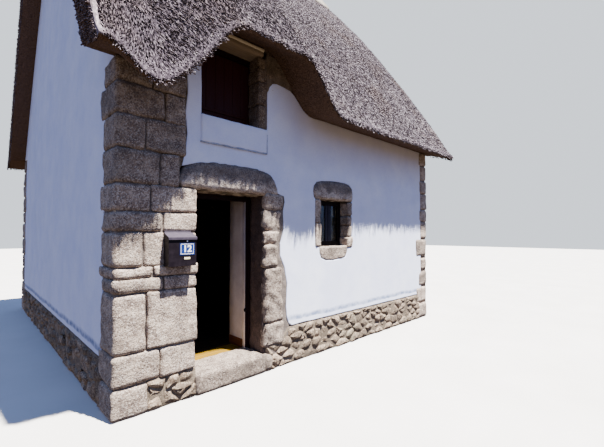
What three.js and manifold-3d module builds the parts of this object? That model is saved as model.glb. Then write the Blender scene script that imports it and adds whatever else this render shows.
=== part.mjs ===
// A thatched granite cottage: thick rubble walls under limewashed render, dressed stones round
// the doorway, window and corners, a thatch roof that lifts over a loft opening, a boarded door
// and a letterbox beside it.
// Millimetres. +Z is up, +X runs to the right along the front, and +Y runs from the front to the
// back. The origin is on the ground, under the middle of the roof.

import * as THREE from 'three';
import { mergeVertices } from 'three/addons/utils/BufferGeometryUtils.js';
import Module from 'manifold-3d';

const wasm = await Module();
wasm.setup();

// House
const HALF_LENGTH = 2800;
const HALF_DEPTH = 3200;
const WALL = 750;
const SKIN = 20;
const WALL_TOP = 3160;
const PLINTH_TOP = 460;
const JOINT = 0.3;

// Roof
const EAVE_REACH = 450;
const VERGE_REACH = 250;
const EAVE_Z = 3030;
const SLOPE_AT_EAVE = 1.668;
const SLOPE_LOSS = 8.735e-5;
const THATCH_DROP = 680;
const NOSE = 45;
const SEAT_END = EAVE_REACH + 60;
const SLOPE_STEPS = 12;
const LENGTH_STEP = 100;
const EYEBROW_RISE = 640;
const EYEBROW_FLAT_END = 560;
const EYEBROW_FADE_END = 2600;
const DRIP_ARCH = { centre: -1310, flat: 310, left: 790, right: 790 };
const WALL_ARCH = { centre: -1604, flat: 420, left: 600, right: 780 };
const DRIP_DIP = 120;
const DIP_CENTRE = -2600;
const DIP_HALF = 430;
const RIDGE_HALF = 430;
const RIDGE_THICK = 95;

// Doorway
const DOOR_LEFT = -2050;
const DOOR_RIGHT = -1180;
const DOOR_HEAD = 2050;
const SILL_TOP = 220;
const FLOOR_TOP = 170;
const FRAME_FRONT = 320;
const FRAME_DEEP = 70;
const STOP_DEEP = 22;
const POST = 60;
const REBATE_POST = 45;
const LEAF_THICK = 43;
const LEAF_GAP = 5;
const LEAF_FREE_GAP = 8;
const HINGE_BEHIND = 14;
const PIN_RADIUS = 6;
const KNUCKLE_RADIUS = 11;
const STRAP_LENGTH = 500;
const STRAP_HALF = 20;
const HINGE_HEIGHTS = { lower: 460, upper: 1740 };
const DOOR_REST_DEG = 90;

// Loft
const LOFT_FLOOR = { bottom: 2420, top: 2460 };
const BEAM = { width: 180, depth: 200, bearing: 120 };
const BEAM_PLACES = [-850, 350, 1450];
const LOFT_OPENING = { x0: -2010, x1: -1198, z0: 2825, z1: 3690 };

// Chimney
const STACK = { x0: 2090, x1: 2690, y: 340, z0: 6500, z1: 8860 };
const STACK_CAP = { over: 40, thick: 90 };

// Dressed stones of the front, as outlines in X and Z and depths behind the face
const DOOR_LINTEL = {
  x0: -2225, x1: -980, z0: DOOR_HEAD, z1: 2350, topLeft: [190, 170], topRight: [250, 220], front: -12, back: 320,
};
const JAMB_LEFT = { x0: -2400, x1: DOOR_LEFT, z0: 0, z1: DOOR_HEAD, front: 0, back: FRAME_FRONT };
const JAMB_RIGHT = { front: 0, back: FRAME_FRONT };
const JAMB_RIGHT_EDGE = [
  [-880, 0], [-835, 480], [-855, 700], [-835, 980], [-880, 1180], [-950, 1330], [-950, 1480], [-895, 1650],
  [-905, 1880], [-878, 1990], [-900, DOOR_HEAD],
];
const WINDOW = { x0: -220, x1: 343, z0: 1426, z1: 2070 };
const WINDOW_LINTEL = {
  x0: -367, x1: 477, z0: 2070, z1: 2330, topLeft: [110, 110], topRight: [170, 150], front: -10, back: 220,
};
const WINDOW_SILL = {
  x0: -250, x1: 345, z0: 1235, z1: 1426, lowLeft: [80, 80], lowRight: [60, 60], front: -14, back: 220,
};
const WINDOW_JAMBS = {
  left: { x0: -335, x1: WINDOW.x0, z0: 1427, z1: 2069, front: -5, back: 220 },
  right: { x0: WINDOW.x1, x1: 455, z0: 1395, z1: 2069, front: -5, back: 220 },
};
const LOFT_SILL = { x0: -2010, x1: -1170, z0: 2540, z1: 2825, front: -25, back: 200 };
const LOFT_LINTEL = { x0: -2060, x1: -1148, z0: 3690, z1: 3784, front: -6, back: WALL - SKIN };
const LOFT_JAMB = { x0: -1198, x1: -985, z0: 2825, z1: 3688, front: -4, back: 200 };
const INNER_LINTEL = { x0: -2220, x1: -984, z0: 2100, z1: 2340, front: FRAME_FRONT, back: WALL };
const QUOIN = { along: 243, round: 350 };
const QUOIN_LEFT_ALONG = 400;

// Letterbox
const BOX = { x0: -2380, x1: -2109, z0: 1300, front: 120, frontTop: 1566, backTop: 1618, sheet: 4 };
const LID_PIN = { radius: 3, knuckle: 6.5, behind: 8, above: 6 };
const PLATE = { x: -2202, z: 1459, width: 145, height: 112, thick: 3 };

const FRONT = -HALF_DEPTH;
const INSIDE_X = HALF_LENGTH - WALL;
const INSIDE_Y = HALF_DEPTH - WALL;
const CORE_X = HALF_LENGTH - SKIN;
const CORE_Y = HALF_DEPTH - SKIN;
const ROOF_RUN = HALF_DEPTH + EAVE_REACH;
const ROOF_HALF = HALF_LENGTH + VERGE_REACH;

const FINISH = {
  rubble: { color: 0x9d8e80, roughness: 0.95, metalness: 0 },
  dressed: { color: 0xb7aca0, roughness: 0.9, metalness: 0 },
  limewash: { color: 0xe6e5e6, roughness: 0.9, metalness: 0 },
  thatch: { color: 0x8f8589, roughness: 1, metalness: 0 },
  mortar: { color: 0xa39b8e, roughness: 0.95, metalness: 0 },
  oldOak: { color: 0x3a241c, roughness: 0.8, metalness: 0 },
  redPaint: { color: 0x3a1418, roughness: 0.6, metalness: 0 },
  floorBoards: { color: 0xc79f62, roughness: 0.7, metalness: 0 },
  glass: { color: 0x1d1f24, roughness: 0.05, metalness: 0 },
  iron: { color: 0x26231f, roughness: 0.6, metalness: 0.9 },
  boxPaint: { color: 0x2a2030, roughness: 0.45, metalness: 0.2 },
  enamel: { color: 0x2a4a8a, roughness: 0.2, metalness: 0 },
};

const cottage = new THREE.Group();

/** Adds one named piece in its finish to the cottage, or to a group inside it. */
function piece(name, geometry, finish, holder = cottage) {
  const mesh = new THREE.Mesh(geometry, new THREE.MeshStandardMaterial(FINISH[finish]));
  mesh.name = name;
  holder.add(mesh);
}

/** A box between two corners. */
function block(x0, x1, y0, y1, z0, z1) {
  const box = new THREE.BoxGeometry(x1 - x0, y1 - y0, z1 - z0);
  return box.translate((x0 + x1) / 2, (y0 + y1) / 2, (z0 + z1) / 2);
}

/** An outline in X and Z, thick from y0 back to y1. */
function plate(shape, y0, y1) {
  const solid = new THREE.ExtrudeGeometry(shape, { depth: y1 - y0, bevelEnabled: false, curveSegments: 5 });
  return solid.rotateX(Math.PI / 2).translate(0, y1, 0);
}

/** An outline in Y and Z, long from x0 to x1, with the given number of steps along it. */
function bar(points, x0, x1, steps = 1) {
  const shape = new THREE.Shape(points.map(([y, z]) => new THREE.Vector2(y, z)));
  const solid = new THREE.ExtrudeGeometry(shape, { depth: x1 - x0, steps, bevelEnabled: false });
  const turn = new THREE.Matrix4().makeBasis(
    new THREE.Vector3(0, 1, 0), new THREE.Vector3(0, 0, 1), new THREE.Vector3(1, 0, 0));
  return solid.applyMatrix4(turn).translate(x0, 0, 0);
}

/** A straight-sided outline through the given points. */
function outline(points) {
  return new THREE.Shape(points.map(([x, z]) => new THREE.Vector2(x, z)));
}

/** The outline of one dressed stone, with the rounded corners that it names, grown all round. */
function stoneShape(spec, grow = 0) {
  const [x0, x1] = [spec.x0 - grow, spec.x1 + grow];
  const [z0, z1] = [spec.z0 - grow, spec.z1 + grow];
  const corners = [
    [x0, z0, 1, 1, spec.lowLeft, true],
    [x1, z0, -1, 1, spec.lowRight, false],
    [x1, z1, -1, -1, spec.topRight, true],
    [x0, z1, 1, -1, spec.topLeft, false],
  ];
  const shape = new THREE.Shape();
  corners.forEach(([x, z, inX, inZ, round = [0, 0], upFirst], i) => {
    const beside = [x, z + inZ * round[1]];
    const along = [x + inX * round[0], z];
    const [start, end] = upFirst ? [beside, along] : [along, beside];
    if (i === 0) shape.moveTo(...start);
    else shape.lineTo(...start);
    if (round[0]) shape.quadraticCurveTo(x, z, ...end);
  });
  return shape;
}

/** One dressed stone, from its face back into the wall. */
function stone(spec, grow = 0) {
  return plate(stoneShape(spec, grow), FRONT + spec.front - grow, FRONT + spec.back + grow);
}

/** The right jamb, straight beside the doorway and uneven against the render. */
function rightJamb(grow = 0) {
  const edge = JAMB_RIGHT_EDGE.map(([x, z]) => [x + grow, z + (z === DOOR_HEAD ? grow : 0)]);
  const shape = outline([[DOOR_RIGHT - grow, 0], ...edge, [DOOR_RIGHT - grow, DOOR_HEAD + grow]]);
  return plate(shape, FRONT + JAMB_RIGHT.front - grow, FRONT + JAMB_RIGHT.back + grow);
}

/** A closed geometry as a solid that can be joined and cut. */
function asSolid(geometry) {
  const bare = geometry.clone();
  bare.deleteAttribute('normal');
  bare.deleteAttribute('uv');
  const merged = mergeVertices(bare, 1e-3);
  return new wasm.Manifold(new wasm.Mesh({
    numProp: 3,
    vertProperties: new Float32Array(merged.attributes.position.array),
    triVerts: new Uint32Array(merged.index.array),
  }));
}

/** The geometry of a solid. */
function asGeometry(solid) {
  const mesh = solid.getMesh();
  const geometry = new THREE.BufferGeometry();
  geometry.setAttribute('position', new THREE.BufferAttribute(mesh.vertProperties, 3));
  geometry.setIndex(new THREE.BufferAttribute(mesh.triVerts, 1));
  geometry.computeVertexNormals();
  return geometry;
}

function cut(geometry, ...cutters) {
  return asGeometry(cutters.reduce((solid, cutter) => solid.subtract(asSolid(cutter)), asSolid(geometry)));
}

function join(...parts) {
  return asGeometry(parts.slice(1).reduce((solid, part) => solid.add(asSolid(part)), asSolid(parts[0])));
}

const clamp01 = (value) => Math.min(1, Math.max(0, value));

/** A fall from 1 to 0 in half a cosine wave. */
const fall = (t) => 0.5 * (1 + Math.cos(Math.PI * clamp01(t)));

/** Height of an eyebrow arch at x, from 0 at its feet to 1 along its crown. */
function archHeight(arch, x) {
  const foot = x < arch.centre ? arch.left : arch.right;
  return fall((Math.abs(x - arch.centre) - arch.flat) / foot);
}

/** Height of the thatch's outer face over ground, at run u inward from the drip edge. */
const slopeTop = (u) => EAVE_Z + SLOPE_AT_EAVE * u - SLOPE_LOSS * u * u;

/** Height of the thatch's underside, which rests flat on the wall head. */
function slopeUnder(u) {
  if (u <= EAVE_REACH) return EAVE_Z + (WALL_TOP - EAVE_Z) * u / EAVE_REACH;
  return Math.max(WALL_TOP, slopeTop(u) - THATCH_DROP);
}

/** How far the eyebrow lifts the front thatch at x and run u. */
function eyebrowLift(x, u) {
  const inward = 1 - fall(u / EAVE_REACH);
  const dip = DRIP_DIP * fall(Math.abs(x - DIP_CENTRE) / DIP_HALF);
  const drip = EYEBROW_RISE * archHeight(DRIP_ARCH, x) - dip;
  const wall = EYEBROW_RISE * archHeight(WALL_ARCH, x);
  const fade = fall((u - EYEBROW_FLAT_END) / (EYEBROW_FADE_END - EYEBROW_FLAT_END));
  return ((1 - inward) * drip + inward * wall) * fade;
}

/** Height of the front wall's head, in straight steps as the thatch over it is. */
function wallHead(x) {
  const place = (x + ROOF_HALF) / LENGTH_STEP;
  const before = Math.floor(place) * LENGTH_STEP - ROOF_HALF;
  const lift = (at) => EYEBROW_RISE * archHeight(WALL_ARCH, at);
  const share = place - Math.floor(place);
  return WALL_TOP + lift(before) * (1 - share) + lift(before + LENGTH_STEP) * share - JOINT;
}

/** The points of the wall head from x0 to x1, from left to right. */
function headPoints(x0, x1) {
  const points = [[x0, wallHead(x0)]];
  const first = Math.floor((x0 + ROOF_HALF) / LENGTH_STEP) + 1;
  for (let x = first * LENGTH_STEP - ROOF_HALF; x < x1; x += LENGTH_STEP) points.push([x, wallHead(x)]);
  points.push([x1, wallHead(x1)]);
  return points;
}

/** The section of one roof slope in Y and Z, from the drip edge up to the ridge and back. */
function slopeSection() {
  const step = ROOF_RUN / SLOPE_STEPS;
  const points = [[0, EAVE_Z + NOSE]];
  for (let i = 0; i < SLOPE_STEPS; i += 1) {
    const u = Math.max(i * step, 2 * NOSE);
    points.push([u, slopeTop(u)]);
  }
  points.push([ROOF_RUN, slopeTop(ROOF_RUN)]);
  for (let i = SLOPE_STEPS; i * step > SEAT_END + step / 2; i -= 2) points.push([i * step, slopeUnder(i * step)]);
  points.push([SEAT_END, WALL_TOP], [EAVE_REACH, WALL_TOP], [EAVE_REACH / 2, slopeUnder(EAVE_REACH / 2)]);
  points.push([NOSE, EAVE_Z + NOSE / 4]);
  return points;
}

/** The gable's upper edge from the peak down the back slope, in straight steps as the thatch is. */
function gablePoints(lowering) {
  const step = ROOF_RUN / SLOPE_STEPS;
  const rise = [];
  for (let i = SLOPE_STEPS; i * step > SEAT_END + step / 2; i -= 2) {
    rise.push([ROOF_RUN - i * step, slopeUnder(i * step) - lowering]);
  }
  rise.push([ROOF_RUN - SEAT_END - lowering, WALL_TOP]);
  return rise;
}

// Roof
const slope = bar(
  slopeSection().map(([u, z]) => [u - ROOF_RUN, z]), -ROOF_HALF, ROOF_HALF, 2 * ROOF_HALF / LENGTH_STEP);
const backSlope = slope.clone().rotateZ(Math.PI);
const spots = slope.attributes.position;
for (let i = 0; i < spots.count; i += 1) {
  const lift = eyebrowLift(spots.getX(i), spots.getY(i) + ROOF_RUN);
  spots.setZ(i, spots.getZ(i) + lift);
}
const stack = (grow = 0) => block(
  STACK.x0 - grow, STACK.x1 + grow, -STACK.y - grow, STACK.y + grow, STACK.z0 - grow, STACK.z1);
const frontSide = block(-ROOF_HALF - 1, ROOF_HALF + 1, -ROOF_RUN - 1, -JOINT / 2, 0, 9000);
const backSide = block(-ROOF_HALF - 1, ROOF_HALF + 1, JOINT / 2, ROOF_RUN + 1, 0, 9000);
piece('thatch_front', cut(slope, backSide, stack(JOINT)), 'thatch');
piece('thatch_back', cut(backSlope, frontSide, stack(JOINT)), 'thatch');

const ridgeStep = ROOF_RUN / SLOPE_STEPS;
const ridgePeak = slopeTop(ROOF_RUN);
const ridgeBend = slopeTop(ROOF_RUN - ridgeStep);
const ridgeFoot = ridgeBend
  - (RIDGE_HALF - ridgeStep) / ridgeStep * (ridgeBend - slopeTop(ROOF_RUN - 2 * ridgeStep));
const ridgeSide = [
  [RIDGE_HALF, ridgeFoot], [RIDGE_HALF + 30, ridgeFoot + 55],
  [RIDGE_HALF * 0.6, ridgeFoot + 0.46 * (ridgePeak - ridgeFoot) + RIDGE_THICK],
  [100, ridgePeak + RIDGE_THICK * 0.75],
];
const ridgeSection = [
  [0, ridgePeak], [ridgeStep, ridgeBend], ...ridgeSide, [0, ridgePeak + RIDGE_THICK],
  ...[...ridgeSide].reverse().map(([y, z]) => [-y, z]), [-ridgeStep, ridgeBend],
].map(([y, z]) => [y, z + 2 * JOINT]);
piece('ridge_cap', cut(bar(ridgeSection, -ROOF_HALF, ROOF_HALF), stack(JOINT)), 'mortar');
piece('chimney_stack', join(stack(), block(
  STACK.x0 - STACK_CAP.over, STACK.x1 + STACK_CAP.over, -STACK.y - STACK_CAP.over, STACK.y + STACK_CAP.over,
  STACK.z1 - STACK_CAP.thick, STACK.z1)), 'dressed');

// Loft floor on its beams, which bear in pockets of the walls
const beam = (x, grow = 0) => block(
  x - BEAM.width / 2 - grow, x + BEAM.width / 2 + grow,
  -INSIDE_Y - BEAM.bearing - grow, INSIDE_Y + BEAM.bearing + grow,
  LOFT_FLOOR.bottom - BEAM.depth - grow, LOFT_FLOOR.bottom + grow);
BEAM_PLACES.forEach((x, i) => piece(`ceiling_beam_${i + 1}`, beam(x), 'oldOak'));
piece('loft_floor', block(
  -INSIDE_X + JOINT, INSIDE_X - JOINT, -INSIDE_Y + JOINT, INSIDE_Y - JOINT,
  LOFT_FLOOR.bottom + JOINT, LOFT_FLOOR.top), 'floorBoards');

// Front wall, in three lengths that meet over the doorway
const grown = [
  DOOR_LINTEL, JAMB_LEFT, WINDOW_LINTEL, WINDOW_SILL, WINDOW_JAMBS.left, WINDOW_JAMBS.right,
  LOFT_SILL, LOFT_LINTEL, LOFT_JAMB, INNER_LINTEL,
].map((spec) => stone(spec, JOINT)).concat(rightJamb(JOINT));
const pockets = BEAM_PLACES.map((x) => beam(x, JOINT));
const windowWay = block(WINDOW.x0, WINDOW.x1, FRONT - 100, FRONT + WALL + 100, WINDOW.z0, WINDOW.z1);
const quoinBlock = (side, end, along, grow = 0) => {
  const inner = side * (HALF_LENGTH - along) - side * grow;
  const outer = side * (HALF_LENGTH + grow);
  const face = end * (HALF_DEPTH + grow);
  const back = end * (HALF_DEPTH - QUOIN.round - grow);
  return block(
    Math.min(inner, outer), Math.max(inner, outer), Math.min(face, back), Math.max(face, back),
    0, WALL_TOP - JOINT + grow);
};
const quoins = [
  ['quoins_front_left', -1, -1, QUOIN_LEFT_ALONG],
  ['quoins_front_right', 1, -1, QUOIN.along],
  ['quoins_back_left', -1, 1, QUOIN.along],
  ['quoins_back_right', 1, 1, QUOIN.along],
];
const quoinCuts = quoins.map(([, side, end, along]) => quoinBlock(side, end, along, JOINT));

const leftShape = outline([
  [-CORE_X, 0], [DOOR_LEFT, 0], [DOOR_LEFT, LOFT_OPENING.z0], [LOFT_OPENING.x0, LOFT_OPENING.z0],
  ...headPoints(-CORE_X, LOFT_OPENING.x0).reverse(),
]);
const rightShape = outline([
  [DOOR_RIGHT, 0], [CORE_X, 0], ...headPoints(LOFT_OPENING.x1, CORE_X).reverse(),
  [LOFT_OPENING.x1, LOFT_OPENING.z0], [DOOR_RIGHT, LOFT_OPENING.z0],
]);
const overShape = outline([
  [DOOR_LEFT + JOINT, DOOR_HEAD], [DOOR_RIGHT - JOINT, DOOR_HEAD],
  [DOOR_RIGHT - JOINT, LOFT_OPENING.z0 - JOINT], [DOOR_LEFT + JOINT, LOFT_OPENING.z0 - JOINT],
]);
const behindHead = block(DOOR_LEFT, DOOR_RIGHT, FRONT - 1, FRONT + WALL + 1, DOOR_HEAD - 1, INNER_LINTEL.z1);
piece('front_wall_left', cut(plate(leftShape, -CORE_Y, -INSIDE_Y), ...grown, quoinCuts[0]), 'rubble');
piece('front_wall_over_door', cut(plate(overShape, -CORE_Y, -INSIDE_Y), ...grown, behindHead), 'rubble');
piece('front_wall_right', cut(
  plate(rightShape, -CORE_Y, -INSIDE_Y), ...grown, ...pockets, windowWay, quoinCuts[1]), 'rubble');

// Back wall and gables
piece('back_wall', cut(
  block(-CORE_X, CORE_X, INSIDE_Y, CORE_Y, 0, WALL_TOP - JOINT), ...pockets, quoinCuts[2], quoinCuts[3]), 'rubble');
const gableRise = gablePoints(JOINT * 2);
const gableShape = [
  [-INSIDE_Y + JOINT, 0], [INSIDE_Y - JOINT, 0], [INSIDE_Y - JOINT, WALL_TOP],
  ...[...gableRise].reverse(), ...gableRise.slice(1).map(([y, z]) => [-y, z]),
  [-INSIDE_Y + JOINT, WALL_TOP],
];
const raisedHead = plate(outline([
  [-CORE_X - 1, 0], [LOFT_OPENING.x0, 0],
  ...headPoints(-CORE_X - 1, LOFT_OPENING.x0).reverse().map(([x, z]) => [x, z + 2 * JOINT]),
]), -CORE_Y - 1, -INSIDE_Y + JOINT);
piece('left_gable_wall', cut(bar(gableShape, -CORE_X, -INSIDE_X), raisedHead), 'rubble');
piece('right_gable_wall', cut(bar(gableShape, INSIDE_X, CORE_X), stack(JOINT)), 'rubble');

// Limewashed render over the plinth
const frontSkin = outline([
  [-2160, PLINTH_TOP], [HALF_LENGTH - QUOIN.along - JOINT, PLINTH_TOP],
  ...headPoints(-2160, HALF_LENGTH - QUOIN.along - JOINT).reverse(),
]);
const doorWay = block(DOOR_LEFT, DOOR_RIGHT, FRONT - 1, FRONT + SKIN + 1, 0, DOOR_HEAD);
const leftOfDoor = block(-2200, DOOR_LEFT, FRONT - 1, FRONT + SKIN + 1, 0, DOOR_HEAD + 1);
const loftWay = block(
  LOFT_OPENING.x0, LOFT_OPENING.x1, FRONT - 1, FRONT + SKIN + 1, LOFT_OPENING.z0 - 1, LOFT_OPENING.z1 + 1);
piece('front_render', cut(
  plate(frontSkin, FRONT, FRONT + SKIN - JOINT), ...grown, doorWay, leftOfDoor, loftWay, windowWay), 'limewash');
const backRenderEnd = HALF_LENGTH - QUOIN.along - JOINT;
piece('back_render', block(
  -backRenderEnd, backRenderEnd, CORE_Y + JOINT, HALF_DEPTH, PLINTH_TOP, WALL_TOP - JOINT), 'limewash');
const sideEnd = HALF_DEPTH - QUOIN.round - JOINT;
const gableSkin = [
  [-sideEnd, PLINTH_TOP], [sideEnd, PLINTH_TOP], [sideEnd, WALL_TOP],
  ...[...gableRise].reverse(), ...gableRise.slice(1).map(([y, z]) => [-y, z]),
  [-sideEnd, WALL_TOP],
];
piece('left_gable_render', bar(gableSkin, -HALF_LENGTH, -CORE_X - JOINT), 'limewash');
piece('right_gable_render', bar(gableSkin, CORE_X + JOINT, HALF_LENGTH), 'limewash');
quoins.forEach(([name, side, end, along]) => piece(name, quoinBlock(side, end, along), 'dressed'));

// Dressed stones and timber lintels
piece('door_lintel', stone(DOOR_LINTEL), 'dressed');
piece('door_inner_lintel', plate(stoneShape(INNER_LINTEL), FRONT + INNER_LINTEL.front + JOINT, -INSIDE_Y), 'oldOak');
const bearing = stone(DOOR_LINTEL, JOINT);
piece('door_jamb_left', cut(stone(JAMB_LEFT), quoinCuts[0], bearing), 'dressed');
piece('door_jamb_right', cut(rightJamb(), bearing), 'dressed');
const doorSill = block(DOOR_LEFT + JOINT, DOOR_RIGHT - JOINT, FRONT - 35, FRONT + FRAME_FRONT + FRAME_DEEP, 0, SILL_TOP);
piece('door_sill', doorSill, 'dressed');
piece('window_lintel', stone(WINDOW_LINTEL), 'dressed');
const windowLintelCut = stone(WINDOW_LINTEL, JOINT);
const windowSillCut = stone(WINDOW_SILL, JOINT);
piece('window_sill', stone(WINDOW_SILL), 'dressed');
for (const [side, spec] of Object.entries(WINDOW_JAMBS)) {
  piece(`window_jamb_${side}`, cut(stone(spec), windowLintelCut, windowSillCut), 'dressed');
}
piece('loft_sill', stone(LOFT_SILL), 'limewash');
piece('loft_lintel', plate(
  stoneShape(LOFT_LINTEL), FRONT + LOFT_LINTEL.front, FRONT + LOFT_LINTEL.back), 'oldOak');
piece('loft_jamb', cut(stone(LOFT_JAMB), stone(LOFT_LINTEL, JOINT), stone(LOFT_SILL, JOINT)), 'dressed');

// Ground floor, with the strip that runs into the doorway
const floorPlan = new THREE.Shape([
  [-INSIDE_X + JOINT, FRONT + FRAME_FRONT + FRAME_DEEP + JOINT],
  [DOOR_RIGHT - JOINT, FRONT + FRAME_FRONT + FRAME_DEEP + JOINT],
  [DOOR_RIGHT - JOINT, -INSIDE_Y + JOINT], [INSIDE_X - JOINT, -INSIDE_Y + JOINT],
  [INSIDE_X - JOINT, INSIDE_Y - JOINT], [-INSIDE_X + JOINT, INSIDE_Y - JOINT],
].map(([x, y]) => new THREE.Vector2(x, y)));
piece('ground_floor', new THREE.ExtrudeGeometry(floorPlan, { depth: FLOOR_TOP, bevelEnabled: false }), 'floorBoards');

// Timber frames, glass and the loft hatch
/** A frame of four members round an opening, a little inside it. */
function openingFrame(opening, member, y0, y1) {
  const whole = block(opening.x0 + JOINT, opening.x1 - JOINT, y0, y1, opening.z0 + JOINT, opening.z1 - JOINT);
  const hole = block(
    opening.x0 + member, opening.x1 - member, y0 - 1, y1 + 1, opening.z0 + member, opening.z1 - member);
  return cut(whole, hole);
}
const WINDOW_MEMBER = 42;
const windowFrameFront = FRONT + 130;
piece('window_frame', openingFrame(WINDOW, WINDOW_MEMBER, windowFrameFront, windowFrameFront + 50), 'redPaint');
piece('window_glass', block(
  WINDOW.x0 + WINDOW_MEMBER + JOINT, WINDOW.x1 - WINDOW_MEMBER - JOINT,
  windowFrameFront + 20, windowFrameFront + 26,
  WINDOW.z0 + WINDOW_MEMBER + JOINT, WINDOW.z1 - WINDOW_MEMBER - JOINT), 'glass');
const LOFT_MEMBER = 62;
const loftFrameFront = FRONT + 205;
piece('loft_frame', openingFrame(LOFT_OPENING, LOFT_MEMBER, loftFrameFront, loftFrameFront + 70), 'redPaint');
piece('loft_hatch', block(
  LOFT_OPENING.x0 + LOFT_MEMBER + JOINT, LOFT_OPENING.x1 - LOFT_MEMBER - JOINT,
  loftFrameFront + 22, loftFrameFront + 52,
  LOFT_OPENING.z0 + LOFT_MEMBER + JOINT, LOFT_OPENING.z1 - LOFT_MEMBER - JOINT), 'redPaint');

const frameFront = FRONT + FRAME_FRONT + JOINT;
const frameBack = FRONT + FRAME_FRONT + FRAME_DEEP;
const stopBack = FRONT + FRAME_FRONT + STOP_DEEP;
piece('door_frame', cut(
  block(DOOR_LEFT + JOINT, DOOR_RIGHT - JOINT, frameFront, frameBack, SILL_TOP + JOINT, DOOR_HEAD - JOINT),
  block(DOOR_LEFT + POST, DOOR_RIGHT - POST, frameFront - 1, frameBack + 1, SILL_TOP - 1, DOOR_HEAD - POST),
  block(DOOR_LEFT + REBATE_POST, DOOR_RIGHT - REBATE_POST, stopBack, frameBack + 1,
    SILL_TOP - 1, DOOR_HEAD - REBATE_POST)), 'redPaint');

// Front door, drawn closed about its hinge line and swung in to where it stands open
const leaf = {
  x0: DOOR_LEFT + REBATE_POST + LEAF_GAP,
  x1: DOOR_RIGHT - REBATE_POST - LEAF_FREE_GAP,
  y0: frameBack - LEAF_THICK,
  y1: frameBack,
  z0: SILL_TOP + 8,
  z1: DOOR_HEAD - REBATE_POST - LEAF_GAP,
};
const hinge = { x: leaf.x0 - 2, y: leaf.y1 + HINGE_BEHIND };
const LOCK = { fromEdge: 65, z: 1130, halfWidth: 55, halfHeight: 60, thick: 26 };
const lockX = leaf.x1 - LOCK.fromEdge;
const KNOB = { spindle: 6, reach: 40, radius: 24 };
/** A round bar or knob lying along Y. */
function roundAlongY(radius, x, y0, y1, z, sides = 16) {
  return new THREE.CylinderGeometry(radius, radius, y1 - y0, sides).translate(x, (y0 + y1) / 2, z);
}
/** A round bar standing along Z. */
function roundAlongZ(radius, x, y, z0, z1, sides = 16) {
  return new THREE.CylinderGeometry(radius, radius, z1 - z0, sides)
    .rotateX(Math.PI / 2).translate(x, y, (z0 + z1) / 2);
}
const door = new THREE.Group();
const swing = new THREE.Group();
swing.position.set(hinge.x, hinge.y, 0);
swing.rotation.z = THREE.MathUtils.degToRad(DOOR_REST_DEG);
door.position.set(-hinge.x, -hinge.y, 0);
swing.add(door);
cottage.add(swing);
piece('front_door', cut(
  block(leaf.x0, leaf.x1, leaf.y0, leaf.y1, leaf.z0, leaf.z1),
  roundAlongY(KNOB.spindle + 2, lockX, leaf.y0 - 1, leaf.y1 + 1, LOCK.z)), 'redPaint', door);
piece('door_lock', join(
  block(lockX - LOCK.halfWidth, lockX + LOCK.halfWidth, leaf.y1 + JOINT, leaf.y1 + LOCK.thick,
    LOCK.z - LOCK.halfHeight, LOCK.z + LOCK.halfHeight),
  roundAlongY(KNOB.spindle, lockX, leaf.y0 - KNOB.reach, leaf.y1 + LOCK.thick, LOCK.z),
  roundAlongY(KNOB.radius, lockX, leaf.y0 - KNOB.reach - 18, leaf.y0 - KNOB.reach + 4, LOCK.z)), 'iron', door);
for (const [name, z] of Object.entries(HINGE_HEIGHTS)) {
  const knuckle = roundAlongZ(KNUCKLE_RADIUS, hinge.x, hinge.y, z - STRAP_HALF, z + STRAP_HALF);
  const bore = roundAlongZ(PIN_RADIUS + 0.4, hinge.x, hinge.y, z - STRAP_HALF - 1, z + STRAP_HALF + 1);
  const strap = block(
    hinge.x, hinge.x + STRAP_LENGTH, leaf.y1 + JOINT, leaf.y1 + 6, z - STRAP_HALF, z + STRAP_HALF);
  piece(`door_strap_${name}`, cut(join(strap, knuckle), bore), 'iron', door);
  const under = z - STRAP_HALF - 5;
  piece(`door_pintle_${name}`, join(
    block(hinge.x - 44, hinge.x - 14, frameBack + JOINT, frameBack + 6, z - 65, z + 5),
    block(hinge.x - 30, hinge.x + 6, frameBack + 5, hinge.y + 6, under - 18, under),
    roundAlongZ(PIN_RADIUS, hinge.x, hinge.y, under - 10, z + STRAP_HALF + 8)), 'iron');
}

// Letterbox on the left jamb, with a lid on a rod
const boxBack = FRONT - JOINT;
const boxFront = FRONT - BOX.front;
const pin = { y: boxBack - LID_PIN.behind, z: BOX.backTop + LID_PIN.above };
/** A round bar lying along X. */
function roundAlongX(radius, x0, x1, y, z, sides = 12) {
  return new THREE.CylinderGeometry(radius, radius, x1 - x0, sides)
    .rotateZ(Math.PI / 2).translate((x0 + x1) / 2, y, z);
}
const sideEar = (x0, x1) => bar([
  [boxBack - 20, BOX.backTop - 30], [boxBack, BOX.backTop - 30],
  [boxBack, pin.z + 4], [boxBack - 16, pin.z + 4],
], x0, x1);
piece('letterbox_body', join(
  cut(
    bar([[boxFront, BOX.z0], [boxBack, BOX.z0], [boxBack, BOX.backTop], [boxFront, BOX.frontTop]], BOX.x0, BOX.x1),
    block(BOX.x0 + BOX.sheet, BOX.x1 - BOX.sheet, boxFront + BOX.sheet, boxBack - BOX.sheet,
      BOX.z0 + BOX.sheet, BOX.backTop + 50)),
  sideEar(BOX.x0, BOX.x0 + BOX.sheet),
  sideEar(BOX.x1 - BOX.sheet, BOX.x1),
  roundAlongX(LID_PIN.radius, BOX.x0 + 1, BOX.x1 - 1, pin.y, pin.z)), 'boxPaint');
const lidSlope = (BOX.backTop - BOX.frontTop) / BOX.front;
const LID = { sheet: 4, rise: 2, lip: 18, over: 4, inset: BOX.sheet + 1.5, back: 26 };
const lidFront = boxFront - LID.over - 2;
const lidBack = boxBack - LID.back;
const lidUnder = (y) => BOX.frontTop + lidSlope * (y - boxFront) + LID.rise;
const lidTop = (y) => lidUnder(y) + LID.sheet;
const tongueFront = lidBack - 10;
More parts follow.
